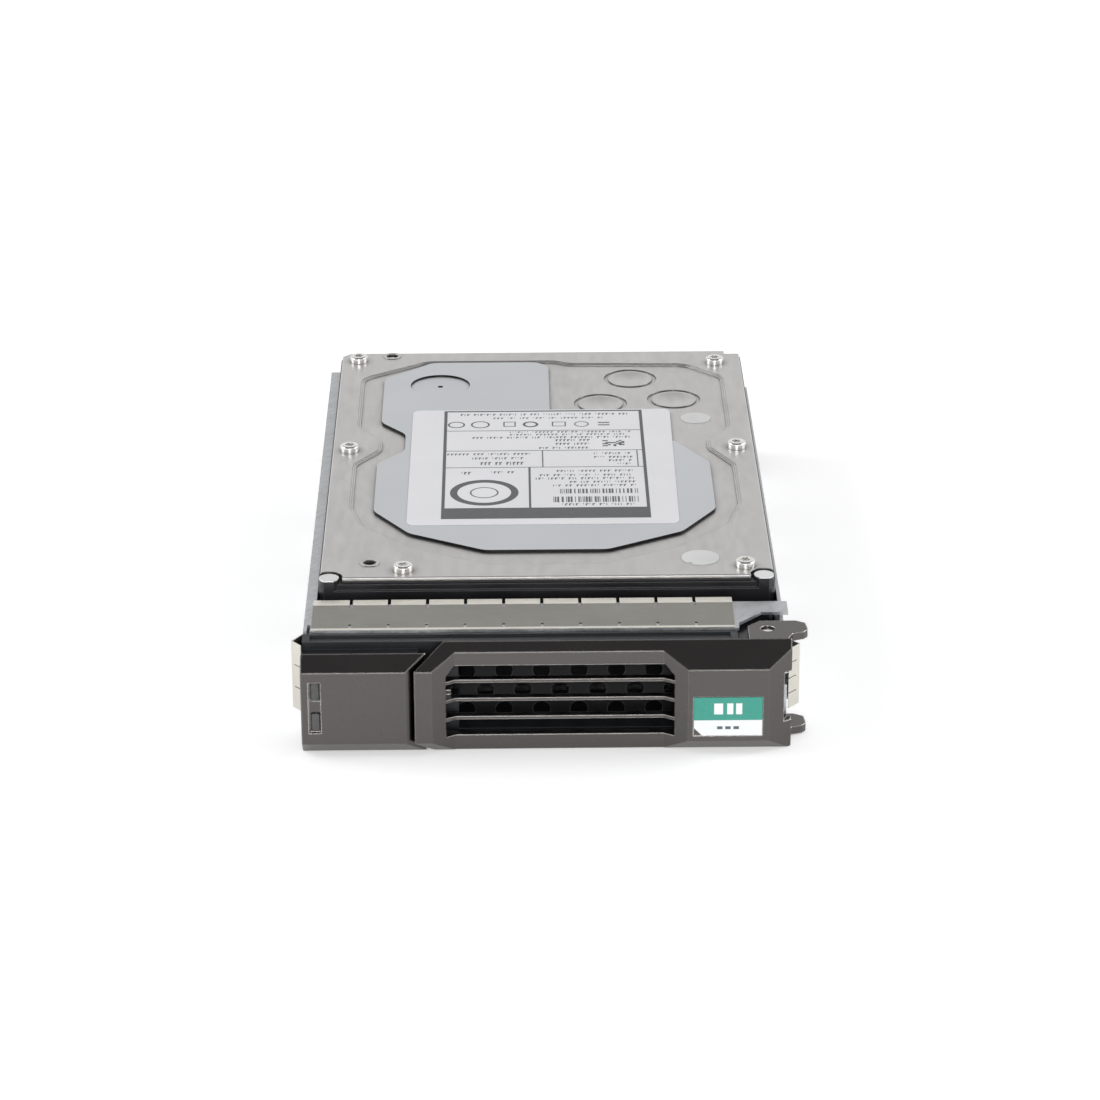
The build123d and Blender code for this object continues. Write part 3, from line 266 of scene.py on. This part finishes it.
def bezel_metallic():
    """Dark metallic paint: fine flakes under a satin finish, with a strong painted highlight along the
    edges.
    """
    base = BASE["bezel_metallic"]
    surface = Surface("bezel_metallic", metallic=1.0)
    flake = surface.cells(0.13 * MM, output=1)
    flake_tone = surface.add("ShaderNodeSeparateXYZ", {0: flake}).outputs[0]
    slow = surface.noise(18 * MM, 3.0)
    near_edge = surface.soften(0.35 * MM)
    body = surface.blend(flake_tone, tint(base, 0.92), tint(base, 1.06))
    # painted highlight: near the edges the paint is lightened up to 7.5 times its colour
    lightened_edges = surface.spread(near_edge, 0.0, 1.0, 0.15, 0.6)
    surface.colour(surface.blend(lightened_edges, body, tint(base, 7.5)))
    surface.rough(surface.spread(slow, 0.22, 0.29))
    surface.bump(surface.noise(0.5 * MM, 2.0), 0.0006 * MM)
    return surface.done()


def cover_stainless():
    """The pressed cover: fine matt grain, faint handling smudges, a painted highlight on its pressed edges
    and painted shade where surfaces crowd it.
    """
    base = BASE["cover_stainless"]
    surface = Surface("cover_stainless", metallic=1.0)
    grain = surface.noise(0.12 * MM, 2.0, (1, 0.5, 1))
    smudge = surface.noise(22 * MM, 5.0)
    scuff = surface.noise(1.6 * MM, 4.0, (1, 0.25, 1))
    near_edge = surface.soften(0.3 * MM)
    tone = surface.maths("MULTIPLY", grain, 0.3)
    tone = surface.maths("ADD", tone, surface.maths("MULTIPLY", smudge, 0.7))
    body = surface.blend(surface.spread(tone, 0.0, 1.0), tint(base, 0.95), tint(base, 1.05))
    # painted highlight: the colour lightened towards 1.3 times the base near every edge
    edge_highlighted = surface.blend(surface.maths("MULTIPLY", near_edge, 0.5), body, tint(base, 1.3))
    # painted shade: darkened by ambient occlusion within 2 mm
    surface.colour(surface.painted_occlusion_shade(edge_highlighted, 2.0 * MM))
    surface.rough(surface.spread(surface.maths("MULTIPLY", smudge, scuff), 0.3, 0.46, 0.1, 0.45))
    surface.bump(grain, 0.003 * MM)
    return surface.done()


def spring_sheet(name, highlight_limits=None):
    """Warm spring sheet with drawn lines along X and a painted highlight on every edge. Given (toe_y,
    heel_y), it is brighter outside them as a painted highlight and darker between them as painted shade.
    """
    base = BASE["contact_stainless"]
    surface = Surface(name, metallic=1.0)
    lines = surface.noise(0.35 * MM, 3.0, (0.1, 1, 1))
    slow = surface.noise(12 * MM, 3.0)
    near_edge = surface.soften(0.1 * MM)
    # painted shade: with limits given, the sheet between them is darkened to half
    painted_shade_factor = 1.0 if highlight_limits is None else 0.5
    body = surface.blend(surface.spread(slow, 0.0, 1.0), tint(base, 0.95 * painted_shade_factor), tint(base, 1.04 * painted_shade_factor))
    if highlight_limits is not None:
        toe = surface.maths("LESS_THAN", surface.axis("Y"), highlight_limits[0])
        heel = surface.maths("GREATER_THAN", surface.axis("Y"), highlight_limits[1])
        # painted highlight: the bands in front of the toe and behind the heel lightened to 1.25 times the
        # base
        body = surface.blend(surface.maths("ADD", toe, heel), body, tint(base, 1.25))
    # painted highlight: the colour lightened towards 1.35 times the base near every edge
    surface.colour(surface.blend(surface.maths("MULTIPLY", near_edge, 0.7), body, tint(base, 1.35)))
    surface.rough(surface.spread(lines, 0.28, 0.4))
    surface.bump(lines, 0.003 * MM)
    return surface.done()


def label_white():
    """Satin label stock: faint fibre and a slight yellowing in patches."""
    base = BASE["label_white"]
    surface = Surface("label_white")
    fibre = surface.noise(0.4 * MM, 4.0)
    slow = surface.noise(20 * MM, 3.0)
    surface.colour(surface.blend(surface.spread(slow, 0.0, 1.0), tint(base, 0.97), tint(base, 1.02)))
    surface.rough(surface.spread(fibre, 0.38, 0.5))
    surface.bump(fibre, 0.004 * MM)
    return surface.done()


def in_rectangle(surface, across, up, centre, size):
    """1 inside a rectangle over two coordinates, with its centre and size in metres."""
    beside = surface.maths("ABSOLUTE", surface.maths("SUBTRACT", across, centre[0]))
    above = surface.maths("ABSOLUTE", surface.maths("SUBTRACT", up, centre[1]))
    inside_x = surface.maths("LESS_THAN", beside, size[0] / 2)
    inside_z = surface.maths("LESS_THAN", above, size[1] / 2)
    return surface.maths("MULTIPLY", inside_x, inside_z)


def label_teal():
    """The handle's sticker: a teal field with plain white blocks over a white field with grey dashes."""
    base = BASE["label_teal"]
    low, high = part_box("capacity_label")
    width = high.x - low.x
    split = low.z + 0.4 * (high.z - low.z)
    white = (0.84, 0.85, 0.87, 1.0)
    surface = Surface("label_teal")
    across = surface.axis("X")
    up = surface.axis("Z")
    fibre = surface.noise(0.5 * MM, 3.0)
    teal = surface.blend(surface.spread(fibre, 0.0, 1.0), tint(base, 0.94), tint(base, 1.06))
    paint = surface.blend(surface.maths("GREATER_THAN", up, split), white, teal)
    block_z = (split + high.z) / 2
    for share, block_width in ((0.36, 0.13), (0.53, 0.09), (0.66, 0.09)):
        centre = (low.x + share * width, block_z)
        mask = in_rectangle(surface, across, up, centre, (block_width * width, 2.6 * MM))
        paint = surface.blend(mask, paint, white)
    dash_z = (low.z + split) / 2
    for share in (0.38, 0.5, 0.62):
        centre = (low.x + share * width, dash_z)
        mask = in_rectangle(surface, across, up, centre, (0.08 * width, 0.7 * MM))
        paint = surface.blend(mask, paint, (0.08, 0.12, 0.13, 1.0))
    surface.colour(paint)
    surface.rough(surface.spread(fibre, 0.32, 0.42))
    return surface.done()


def smoked_lens():
    """Light pipe plastic: grey-green, glossy, a little cloudy."""
    base = BASE["smoked_lens"]
    surface = Surface("smoked_lens")
    cloud = surface.noise(2 * MM, 3.0)
    surface.soften(0.15 * MM)
    surface.colour(surface.blend(surface.spread(cloud, 0.0, 1.0), tint(base, 0.45), tint(base, 0.6)))
    surface.rough(surface.spread(cloud, 0.3, 0.45))
    surface.set("Specular IOR Level", 0.3)
    return surface.done()


def coated_casting():
    """Black electrocoat over a casting: orange peel, with grey showing on its worn edges."""
    base = BASE["coated_casting"]
    surface = Surface("coated_casting")
    peel = surface.noise(0.9 * MM, 3.0)
    slow = surface.noise(16 * MM, 4.0)
    near_edge = surface.soften(0.25 * MM)
    body = surface.blend(surface.spread(slow, 0.0, 1.0), tint(base, 0.8), tint(base, 1.3))
    lightened_edges = surface.blend(surface.maths("MULTIPLY", near_edge, 0.35), body, (0.3, 0.3, 0.31, 1.0))
    pad_z = CASTING_HIGH.z - PAD_DEPTH
    machined = surface.maths("GREATER_THAN", surface.axis("Z"), pad_z)
    surface.colour(surface.blend(machined, lightened_edges, PAD_COLOUR))
    surface.rough(surface.spread(slow, 0.26, 0.4))
    surface.links.new(machined, surface.shader.inputs["Metallic"])
    surface.bump(peel, 0.012 * MM)
    return surface.done()


def board_laminate():
    """Solder mask over copper traces that run between uneven patches."""
    base = BASE["board_laminate"]
    surface = Surface("board_laminate")
    gap = surface.cells(2.2 * MM, "DISTANCE_TO_EDGE")
    trace = surface.maths("LESS_THAN", gap, 0.07)
    weave = surface.noise(0.3 * MM, 3.0)
    body = surface.blend(surface.spread(weave, 0.0, 1.0), tint(base, 0.85), tint(base, 1.15))
    surface.colour(surface.blend(trace, body, tint(base, 2.2)))
    surface.rough(surface.spread(weave, 0.3, 0.42))
    surface.bump(trace, 0.02 * MM)
    return surface.done()


def copper_wire():
    """Enamelled windings: fine ridges one wire apart."""
    base = BASE["copper_wire"]
    surface = Surface("copper_wire", metallic=1.0)
    turns = surface.bands(0.3 * MM)
    surface.colour(surface.blend(turns, tint(base, 0.55), tint(base, 1.1)))
    surface.rough(surface.spread(turns, 0.4, 0.25, 0.0, 1.0))
    surface.bump(turns, 0.05 * MM)
    return surface.done()


def disk_mirror():
    """A sputtered disk: nearly a mirror, with a faint slow tone."""
    base = BASE["disk_mirror"]
    surface = Surface("disk_mirror", metallic=1.0)
    slow = surface.noise(30 * MM, 2.0)
    surface.colour(surface.blend(slow, tint(base, 0.97), tint(base, 1.02)))
    surface.rough(surface.spread(slow, 0.03, 0.06))
    return surface.done()


def filter_cloth():
    """Matt cloth with a coarse cell texture."""
    surface = Surface("filter_cloth", roughness=0.9)
    weave = surface.cells(0.5 * MM)
    surface.colour(surface.blend(weave, tint(BASE["filter_cloth"], 1.0), tint(BASE["filter_cloth"], 0.75)))
    surface.bump(weave, 0.1 * MM)
    return surface.done()


def flex_film():
    """Amber film with parallel conductors along the ribbon."""
    base = BASE["flex_film"]
    surface = Surface("flex_film", roughness=0.3)
    tracks = surface.bands(0.8 * MM)
    track = surface.maths("GREATER_THAN", tracks, 0.6)
    surface.colour(surface.blend(track, tint(base, 1.0), tint(base, 0.55)))
    surface.bump(tracks, 0.02 * MM)
    return surface.done()


def motor_steel():
    """A stack of laminations, seen as thin lines round its sides."""
    base = BASE["motor_steel"]
    surface = Surface("motor_steel", metallic=1.0)
    layers = surface.bands(0.5 * MM)
    surface.colour(surface.blend(layers, tint(base, 0.75), tint(base, 1.1)))
    surface.rough(surface.spread(layers, 0.5, 0.38, 0.0, 1.0))
    surface.bump(layers, 0.03 * MM)
    return surface.done()


def ink():
    """Label printing: dark grey, slightly uneven."""
    surface = Surface("label_ink")
    lightening = surface.noise(1.2 * MM, 4.0)
    dark = (0.085, 0.09, 0.095, 1)
    worn = (0.13, 0.135, 0.14, 1)
    surface.colour(surface.blend(surface.spread(lightening, 0.0, 1.0), dark, worn))
    surface.rough(surface.spread(lightening, 0.45, 0.6))
    return surface.done()


def perforated_sheet():
    """The black plate behind the grille: nearly black, darker than its black paint as painted shade, with a
    painted highlight round its holes.
    """
    surface = Surface("perforated_sheet", roughness=0.3)
    speck = surface.noise(0.6 * MM, 3.0)
    near_edge = surface.soften(0.35 * MM)
    # nearly black: black paint, made darker still as painted shade
    body = surface.blend(speck, (0.003, 0.003, 0.004, 1.0), (0.006, 0.006, 0.007, 1.0))
    # painted highlight: the colour lightened to grey near every edge, round the holes
    surface.colour(surface.blend(near_edge, body, (0.12, 0.12, 0.125, 1.0)))
    surface.set("Specular IOR Level", 0.25)
    surface.bump(speck, 0.01 * MM)
    return surface.done()


def bonded_plate():
    """Fine matt aluminium: faces that do not point up are coloured near black as painted shade, and the top
    is darkened where surfaces crowd it, as painted shade too.
    """
    base = BASE["plate_aluminium"]
    surface = Surface("bonded_plate", metallic=1.0)
    grain = surface.noise(0.14 * MM, 3.0)
    slow = surface.noise(25 * MM, 4.0)
    facing = surface.add("ShaderNodeNewGeometry").outputs["True Normal"]
    upward = surface.add("ShaderNodeSeparateXYZ", {0: facing}).outputs["Z"]
    # painted shade: every face that does not point up is coloured near black
    side_painted_shade = surface.maths("LESS_THAN", upward, 0.6)
    body = surface.blend(surface.spread(slow, 0.0, 1.0), tint(base, 0.97), tint(base, 1.03))
    # painted shade: the sides near black, and the top darkened by ambient occlusion within 0.8 mm
    surface.colour(surface.blend(side_painted_shade, surface.painted_occlusion_shade(body, 0.8 * MM), (0.03, 0.03, 0.03, 1.0)))
    surface.rough(surface.spread(slow, 0.35, 0.44))
    surface.bump(grain, 0.003 * MM)
    return surface.done()


MATERIALS = {
    "galvanised_steel": galvanised_steel(),
    "contact_stainless": spring_sheet("contact_stainless"),
    "bezel_metallic": bezel_metallic(),
    # the frame's edges lightened fivefold: a painted highlight
    "frame_plastic": moulded("frame_plastic", 0.45, edge=0.3 * MM, lightening=5.0, tone=0.3).done(),
    "black_plastic": moulded("black_plastic", 0.36).done(),
    "black_sheet": perforated_sheet(),
    "smoked_lens": smoked_lens(),
    "spring_steel": metal("spring_steel", 0.28).done(),
    "bright_steel": metal("bright_steel", 0.2, grain=0.3 * MM, contrast=0.08).done(),
    "coated_casting": coated_casting(),
    "cover_stainless": cover_stainless(),
    "plate_aluminium": bonded_plate(),
    "label_white": label_white(),
    "label_teal": label_teal(),
    "sticker_pale": moulded("sticker_pale", 0.42, lightening=1.05).done(),
    "disk_mirror": disk_mirror(),
    "machined_aluminium": metal("machined_aluminium", 0.3, grain=0.2 * MM, stretch=(1, 1, 6)).done(),
    "motor_steel": motor_steel(),
    "magnet_nickel": metal("magnet_nickel", 0.22).done(),
    "copper_wire": copper_wire(),
    "filter_cloth": filter_cloth(),
    "ramp_plastic": moulded("ramp_plastic", 0.3, lightening=1.1).done(),
    "flex_film": flex_film(),
    "board_laminate": board_laminate(),
    "chip_plastic": moulded("chip_plastic", 0.55, grain=0.12 * MM).done(),
    "contact_gold": metal("contact_gold", 0.25, grain=0.2 * MM).done(),
    "gasket_rubber": moulded("gasket_rubber", 0.7, grain=0.4 * MM, lightening=1.2).done(),
}

for node, thing in NODES.items():
    thing.data.materials.clear()
    thing.data.materials.append(MATERIALS[SLOT_OF[node]])

# the limits of the strip's painted highlights and painted shade
strip_highlight_limits = (STRIP_LOW.y + STRIP_TOE, STRIP_HIGH.y - STRIP_HEEL)
NODES["emi_spring_top"].data.materials[0] = spring_sheet("contact_strip", strip_highlight_limits)


# ---- printed label ----------------------------------------------------------------------
class Print:
    """Thin raised ink shapes on the drive's label, drawn in millimetres on the drive's plan."""

    def __init__(self, name):
        self.name = name
        self.mesh = bmesh.new()
        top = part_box("drive_label")[1].z
        self.low = top - INK_T
        self.high = top + INK_T

    def shape(self, points):
        """A closed thin solid over an outline of plan points."""
        plan = [(DRIVE_X + x * MM, DRIVE_Y + y * MM) for x, y in points]
        bottom = [self.mesh.verts.new((x, y, self.low)) for x, y in plan]
        top = [self.mesh.verts.new((x, y, self.high)) for x, y in plan]
        self.mesh.faces.new(top)
        self.mesh.faces.new(bottom[::-1])
        count = len(plan)
        for i in range(count):
            j = (i + 1) % count
            self.mesh.faces.new((bottom[i], bottom[j], top[j], top[i]))

    def bar(self, x0, x1, y0, y1):
        """A filled rectangle."""
        self.shape([(x0, y0), (x1, y0), (x1, y1), (x0, y1)])

    def ring(self, centre, inner, outer, parts=48):
        """A flat ring, made of short segments."""
        for i in range(parts):
            first = 2 * math.pi * i / parts
            second = 2 * math.pi * (i + 1) / parts
            corners = [(outer, first), (outer, second), (inner, second), (inner, first)]
            self.shape([(centre[0] + r * math.cos(a), centre[1] + r * math.sin(a)) for r, a in corners])

    def frame(self, x0, x1, y0, y1, line):
        """The outline of a rectangle."""
        self.bar(x0, x1, y0, y0 + line)
        self.bar(x0, x1, y1 - line, y1)
        self.bar(x0, x0 + line, y0 + line, y1 - line)
        self.bar(x1 - line, x1, y0 + line, y1 - line)

    def words(self, x0, x1, y, height, seed):
        """A row of short strokes in groups: it reads as small print, and holds no letters."""
        draw = random.Random(seed)
        x = x0
        while x < x1 - 1.0:
            group = draw.randint(2, 7)
            for _ in range(group):
                if x > x1 - 0.6:
                    break
                kind = draw.random()
                width = 0.62 if kind < 0.5 else 0.34
                low = y if kind < 0.75 else y + height * 0.5
                self.bar(x, x + width * 0.5, low, y + height)
                if kind < 0.5:
                    self.bar(x + width * 0.5, x + width, y + height * 0.68, y + height)
                x += width + 0.3
            x += 0.75

    def bar_field(self, x0, x1, y0, y1, seed):
        """Upright bars of uneven width that carry no code."""
        draw = random.Random(seed)
        x = x0
        while x < x1:
            width = draw.choice((0.16, 0.16, 0.3, 0.45))
            self.bar(x, min(x + width, x1), y0, y1)
            x += width + draw.choice((0.2, 0.2, 0.35, 0.6))

    def checks(self, x0, y0, columns, rows, size, seed):
        """Squares filled at random on a grid. They carry no code."""
        draw = random.Random(seed)
        for column in range(columns):
            for row in range(rows):
                if draw.random() < 0.5:
                    x = x0 + column * size
                    y = y0 + row * size
                    self.bar(x, x + size, y, y + size)

    def finish(self):
        """Turns the shapes into one piece that rides on the carrier."""
        data = bpy.data.meshes.new(self.name)
        self.mesh.to_mesh(data)
        self.mesh.free()
        piece = bpy.data.objects.new(self.name, data)
        bpy.context.scene.collection.objects.link(piece)
        piece.data.materials.append(ink())
        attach(piece, "carrier")


def label_table(page):
    """The frame, the dark header band and the lines between the fields."""
    x0, x1 = LABEL_X
    inside_x0 = x0 + LABEL_BORDER
    inside_x1 = x1 - LABEL_BORDER
    page.frame(x0, x1, LABEL_Y[0], LABEL_Y[1], LABEL_BORDER)
    page.bar(inside_x0, inside_x1, LABEL_Y[0] + LABEL_BORDER, HEADER_Y)
    for y in ROWS_Y:
        page.bar(inside_x0, inside_x1, y, y + LINE)
    page.bar(-3.7, -3.2, HEADER_Y, ROWS_Y[0])
    page.bar(-0.4, -0.12, ROWS_Y[0] + LINE, ROWS_Y[1])
    page.bar(22.2, 22.45, ROWS_Y[0] + LINE, ROWS_Y[1])


def label_marks(page):
    """Plain rings, squares and bars where a label has its seals and codes."""
    page.ring((-14.1, 50.5), 6.3, 8.0)
    page.ring((-14.1, 50.5), 3.0, 3.35)
    page.bar_field(2.0, 21.8, 44.2, 47.6, 1)
    page.bar_field(3.6, 21.8, 49.6, 52.4, 2)
    page.checks(14.2, 79.6, 9, 6, 0.66, 3)
    page.ring((-21.0, 94.6), 1.7, 2.1, 24)
    page.ring((-15.2, 94.6), 1.9, 2.3, 24)
    page.frame(-9.6, -6.6, 93.2, 96.4, 0.3)
    page.ring((-3.0, 94.6), 1.3, 1.9, 24)
    page.frame(2.2, 5.6, 93.2, 96.2, 0.3)
    page.ring((9.4, 94.6), 1.5, 1.8, 24)
    page.bar(13.4, 16.2, 93.6, 94.2)
    page.bar(13.4, 16.2, 95.2, 95.8)


def label_words(page):
    """The rows of small strokes: where each starts and ends, its height on the plan and its size."""
    rows = [(4, 21.8, 42.2, 1.2), (2, 21.8, 54.0, 1.1), (6, 21.8, 56.2, 1.1), (-2, 21.8, 58.4, 1.2),
            (-1, 21.8, 60.6, 1.1), (3, 21.8, 63.2, 1.1), (-19.5, -16.5, 62.0, 1.6), (-12.5, -6.5, 62.6, 1.2),
            (-15, -4.5, 68.0, 1.8), (-17, -4.5, 71.6, 1.2), (-23, -1.5, 74.4, 1.1), (17.5, 21.4, 67.6, 1.1),
            (15.5, 21.4, 69.8, 1.1), (12, 21.4, 72.0, 1.1), (12, 21.4, 74.4, 1.1), (-1, 12.6, 78.2, 1.1),
            (3, 12, 80.8, 1.2), (3, 12, 83.2, 1.2), (-17, 21.6, 85.2, 1.1), (-8, 21.6, 87.2, 0.9),
            (-8, 21.6, 88.9, 0.9), (-12, 16, 98.4, 0.9), (-20, 21.4, 100.8, 1.1)]
    for seed, (x0, x1, y, height) in enumerate(rows):
        page.words(x0, x1, y, height, seed)


page = Print("drive_label_print")
label_table(page)
label_marks(page)
label_words(page)
page.finish()


# ---- floor, light and camera --------------------------------------------------------------
def studio_floor():
    """A white floor that glows a little, except in the shade under the part."""
    surface = Surface("studio_floor", roughness=0.8)
    tone = surface.noise(0.4, 2.0)
    surface.colour(surface.blend(tone, (0.9, 0.9, 0.9, 1), (0.92, 0.92, 0.92, 1)))
    size = (cad_high.x - cad_low.x - 2 * FLOOR_SHADE, cad_high.y - cad_low.y - 2 * FLOOR_SHADE)
    middle = ((cad_high.x + cad_low.x) / 2, (cad_high.y + cad_low.y) / 2)
    under = in_rectangle(surface, surface.axis("X"), surface.axis("Y"), middle, size)
    glow = surface.maths("MULTIPLY", surface.maths("SUBTRACT", 1.0, under), FLOOR_GLOW)
    surface.set("Emission Color", (1.0, 1.0, 1.0, 1.0))
    surface.links.new(glow, surface.shader.inputs["Emission Strength"])
    data = bpy.data.meshes.new("floor")
    half = FLOOR_HALF
    corners = [(-half, -half, 0), (half, -half, 0), (half, half, 0), (-half, half, 0)]
    data.from_pydata(corners, [], [(0, 1, 2, 3)])
    floor = bpy.data.objects.new("floor", data)
    floor.location.z = cad_low.z
    data.materials.append(surface.done())
    bpy.context.scene.collection.objects.link(floor)


def softbox(name, place, size, power):
    """A square area light that points at the middle of the part."""
    light = bpy.data.lights.new(name, "AREA")
    light.size = size
    light.energy = power
    lamp = bpy.data.objects.new(name, light)
    lamp.location = place
    lamp.rotation_mode = "QUATERNION"
    lamp.rotation_quaternion = (-Vector(place)).to_track_quat("-Z", "Y")
    bpy.context.scene.collection.objects.link(lamp)


def surroundings():
    """A pale room: bright round the horizon and dimmer overhead."""
    world = bpy.data.worlds.new("room")
    world.use_nodes = True
    nodes = world.node_tree.nodes
    links = world.node_tree.links
    background = nodes["Background"]
    direction = nodes.new("ShaderNodeTexCoord")
    split = nodes.new("ShaderNodeSeparateXYZ")
    ramp = nodes.new("ShaderNodeValToRGB")
    links.new(direction.outputs["Generated"], split.inputs[0])
    links.new(split.outputs["Z"], ramp.inputs[0])
    links.new(ramp.outputs[0], background.inputs[0])
    ramp.color_ramp.elements[0].position = 0.5
    ramp.color_ramp.elements[0].color = (0.92, 0.92, 0.92, 1)
    ramp.color_ramp.elements[1].position = 0.78
    ramp.color_ramp.elements[1].color = (0.2, 0.2, 0.205, 1)
    background.inputs[1].default_value = 1.0
    bpy.context.scene.world = world


def place_camera():
    """A long lens before the part, looking down on it."""
    data = bpy.data.cameras.new("camera")
    data.lens = CAMERA_LENS
    data.sensor_width = 36.0
    data.clip_start = 0.05
    camera = bpy.data.objects.new("camera", data)
    forward = Vector((math.sin(CAMERA_YAW) * math.cos(CAMERA_PITCH),
                      math.cos(CAMERA_YAW) * math.cos(CAMERA_PITCH),
                      -math.sin(CAMERA_PITCH)))
    side = Vector((math.cos(CAMERA_YAW), -math.sin(CAMERA_YAW), 0))
    lift = side.cross(forward)
    right = side * math.cos(CAMERA_ROLL) + lift * math.sin(CAMERA_ROLL)
    up = lift * math.cos(CAMERA_ROLL) - side * math.sin(CAMERA_ROLL)
    turn = Matrix((right, up, -forward)).transposed().to_4x4()
    camera.matrix_world = Matrix.Translation(CAMERA_AT) @ turn
    bpy.context.scene.collection.objects.link(camera)
    bpy.context.scene.camera = camera


studio_floor()
softbox("left_softbox", (-1.3, 0.1, 0.9), 0.8, 7.0)
softbox("right_softbox", (1.3, 0.1, 0.9), 0.8, 6.0)
softbox("front_softbox", (0.0, -1.9, 0.45), 0.8, 9.0)
surroundings()
place_camera()
bpy.context.scene.view_settings.view_transform = "Standard"
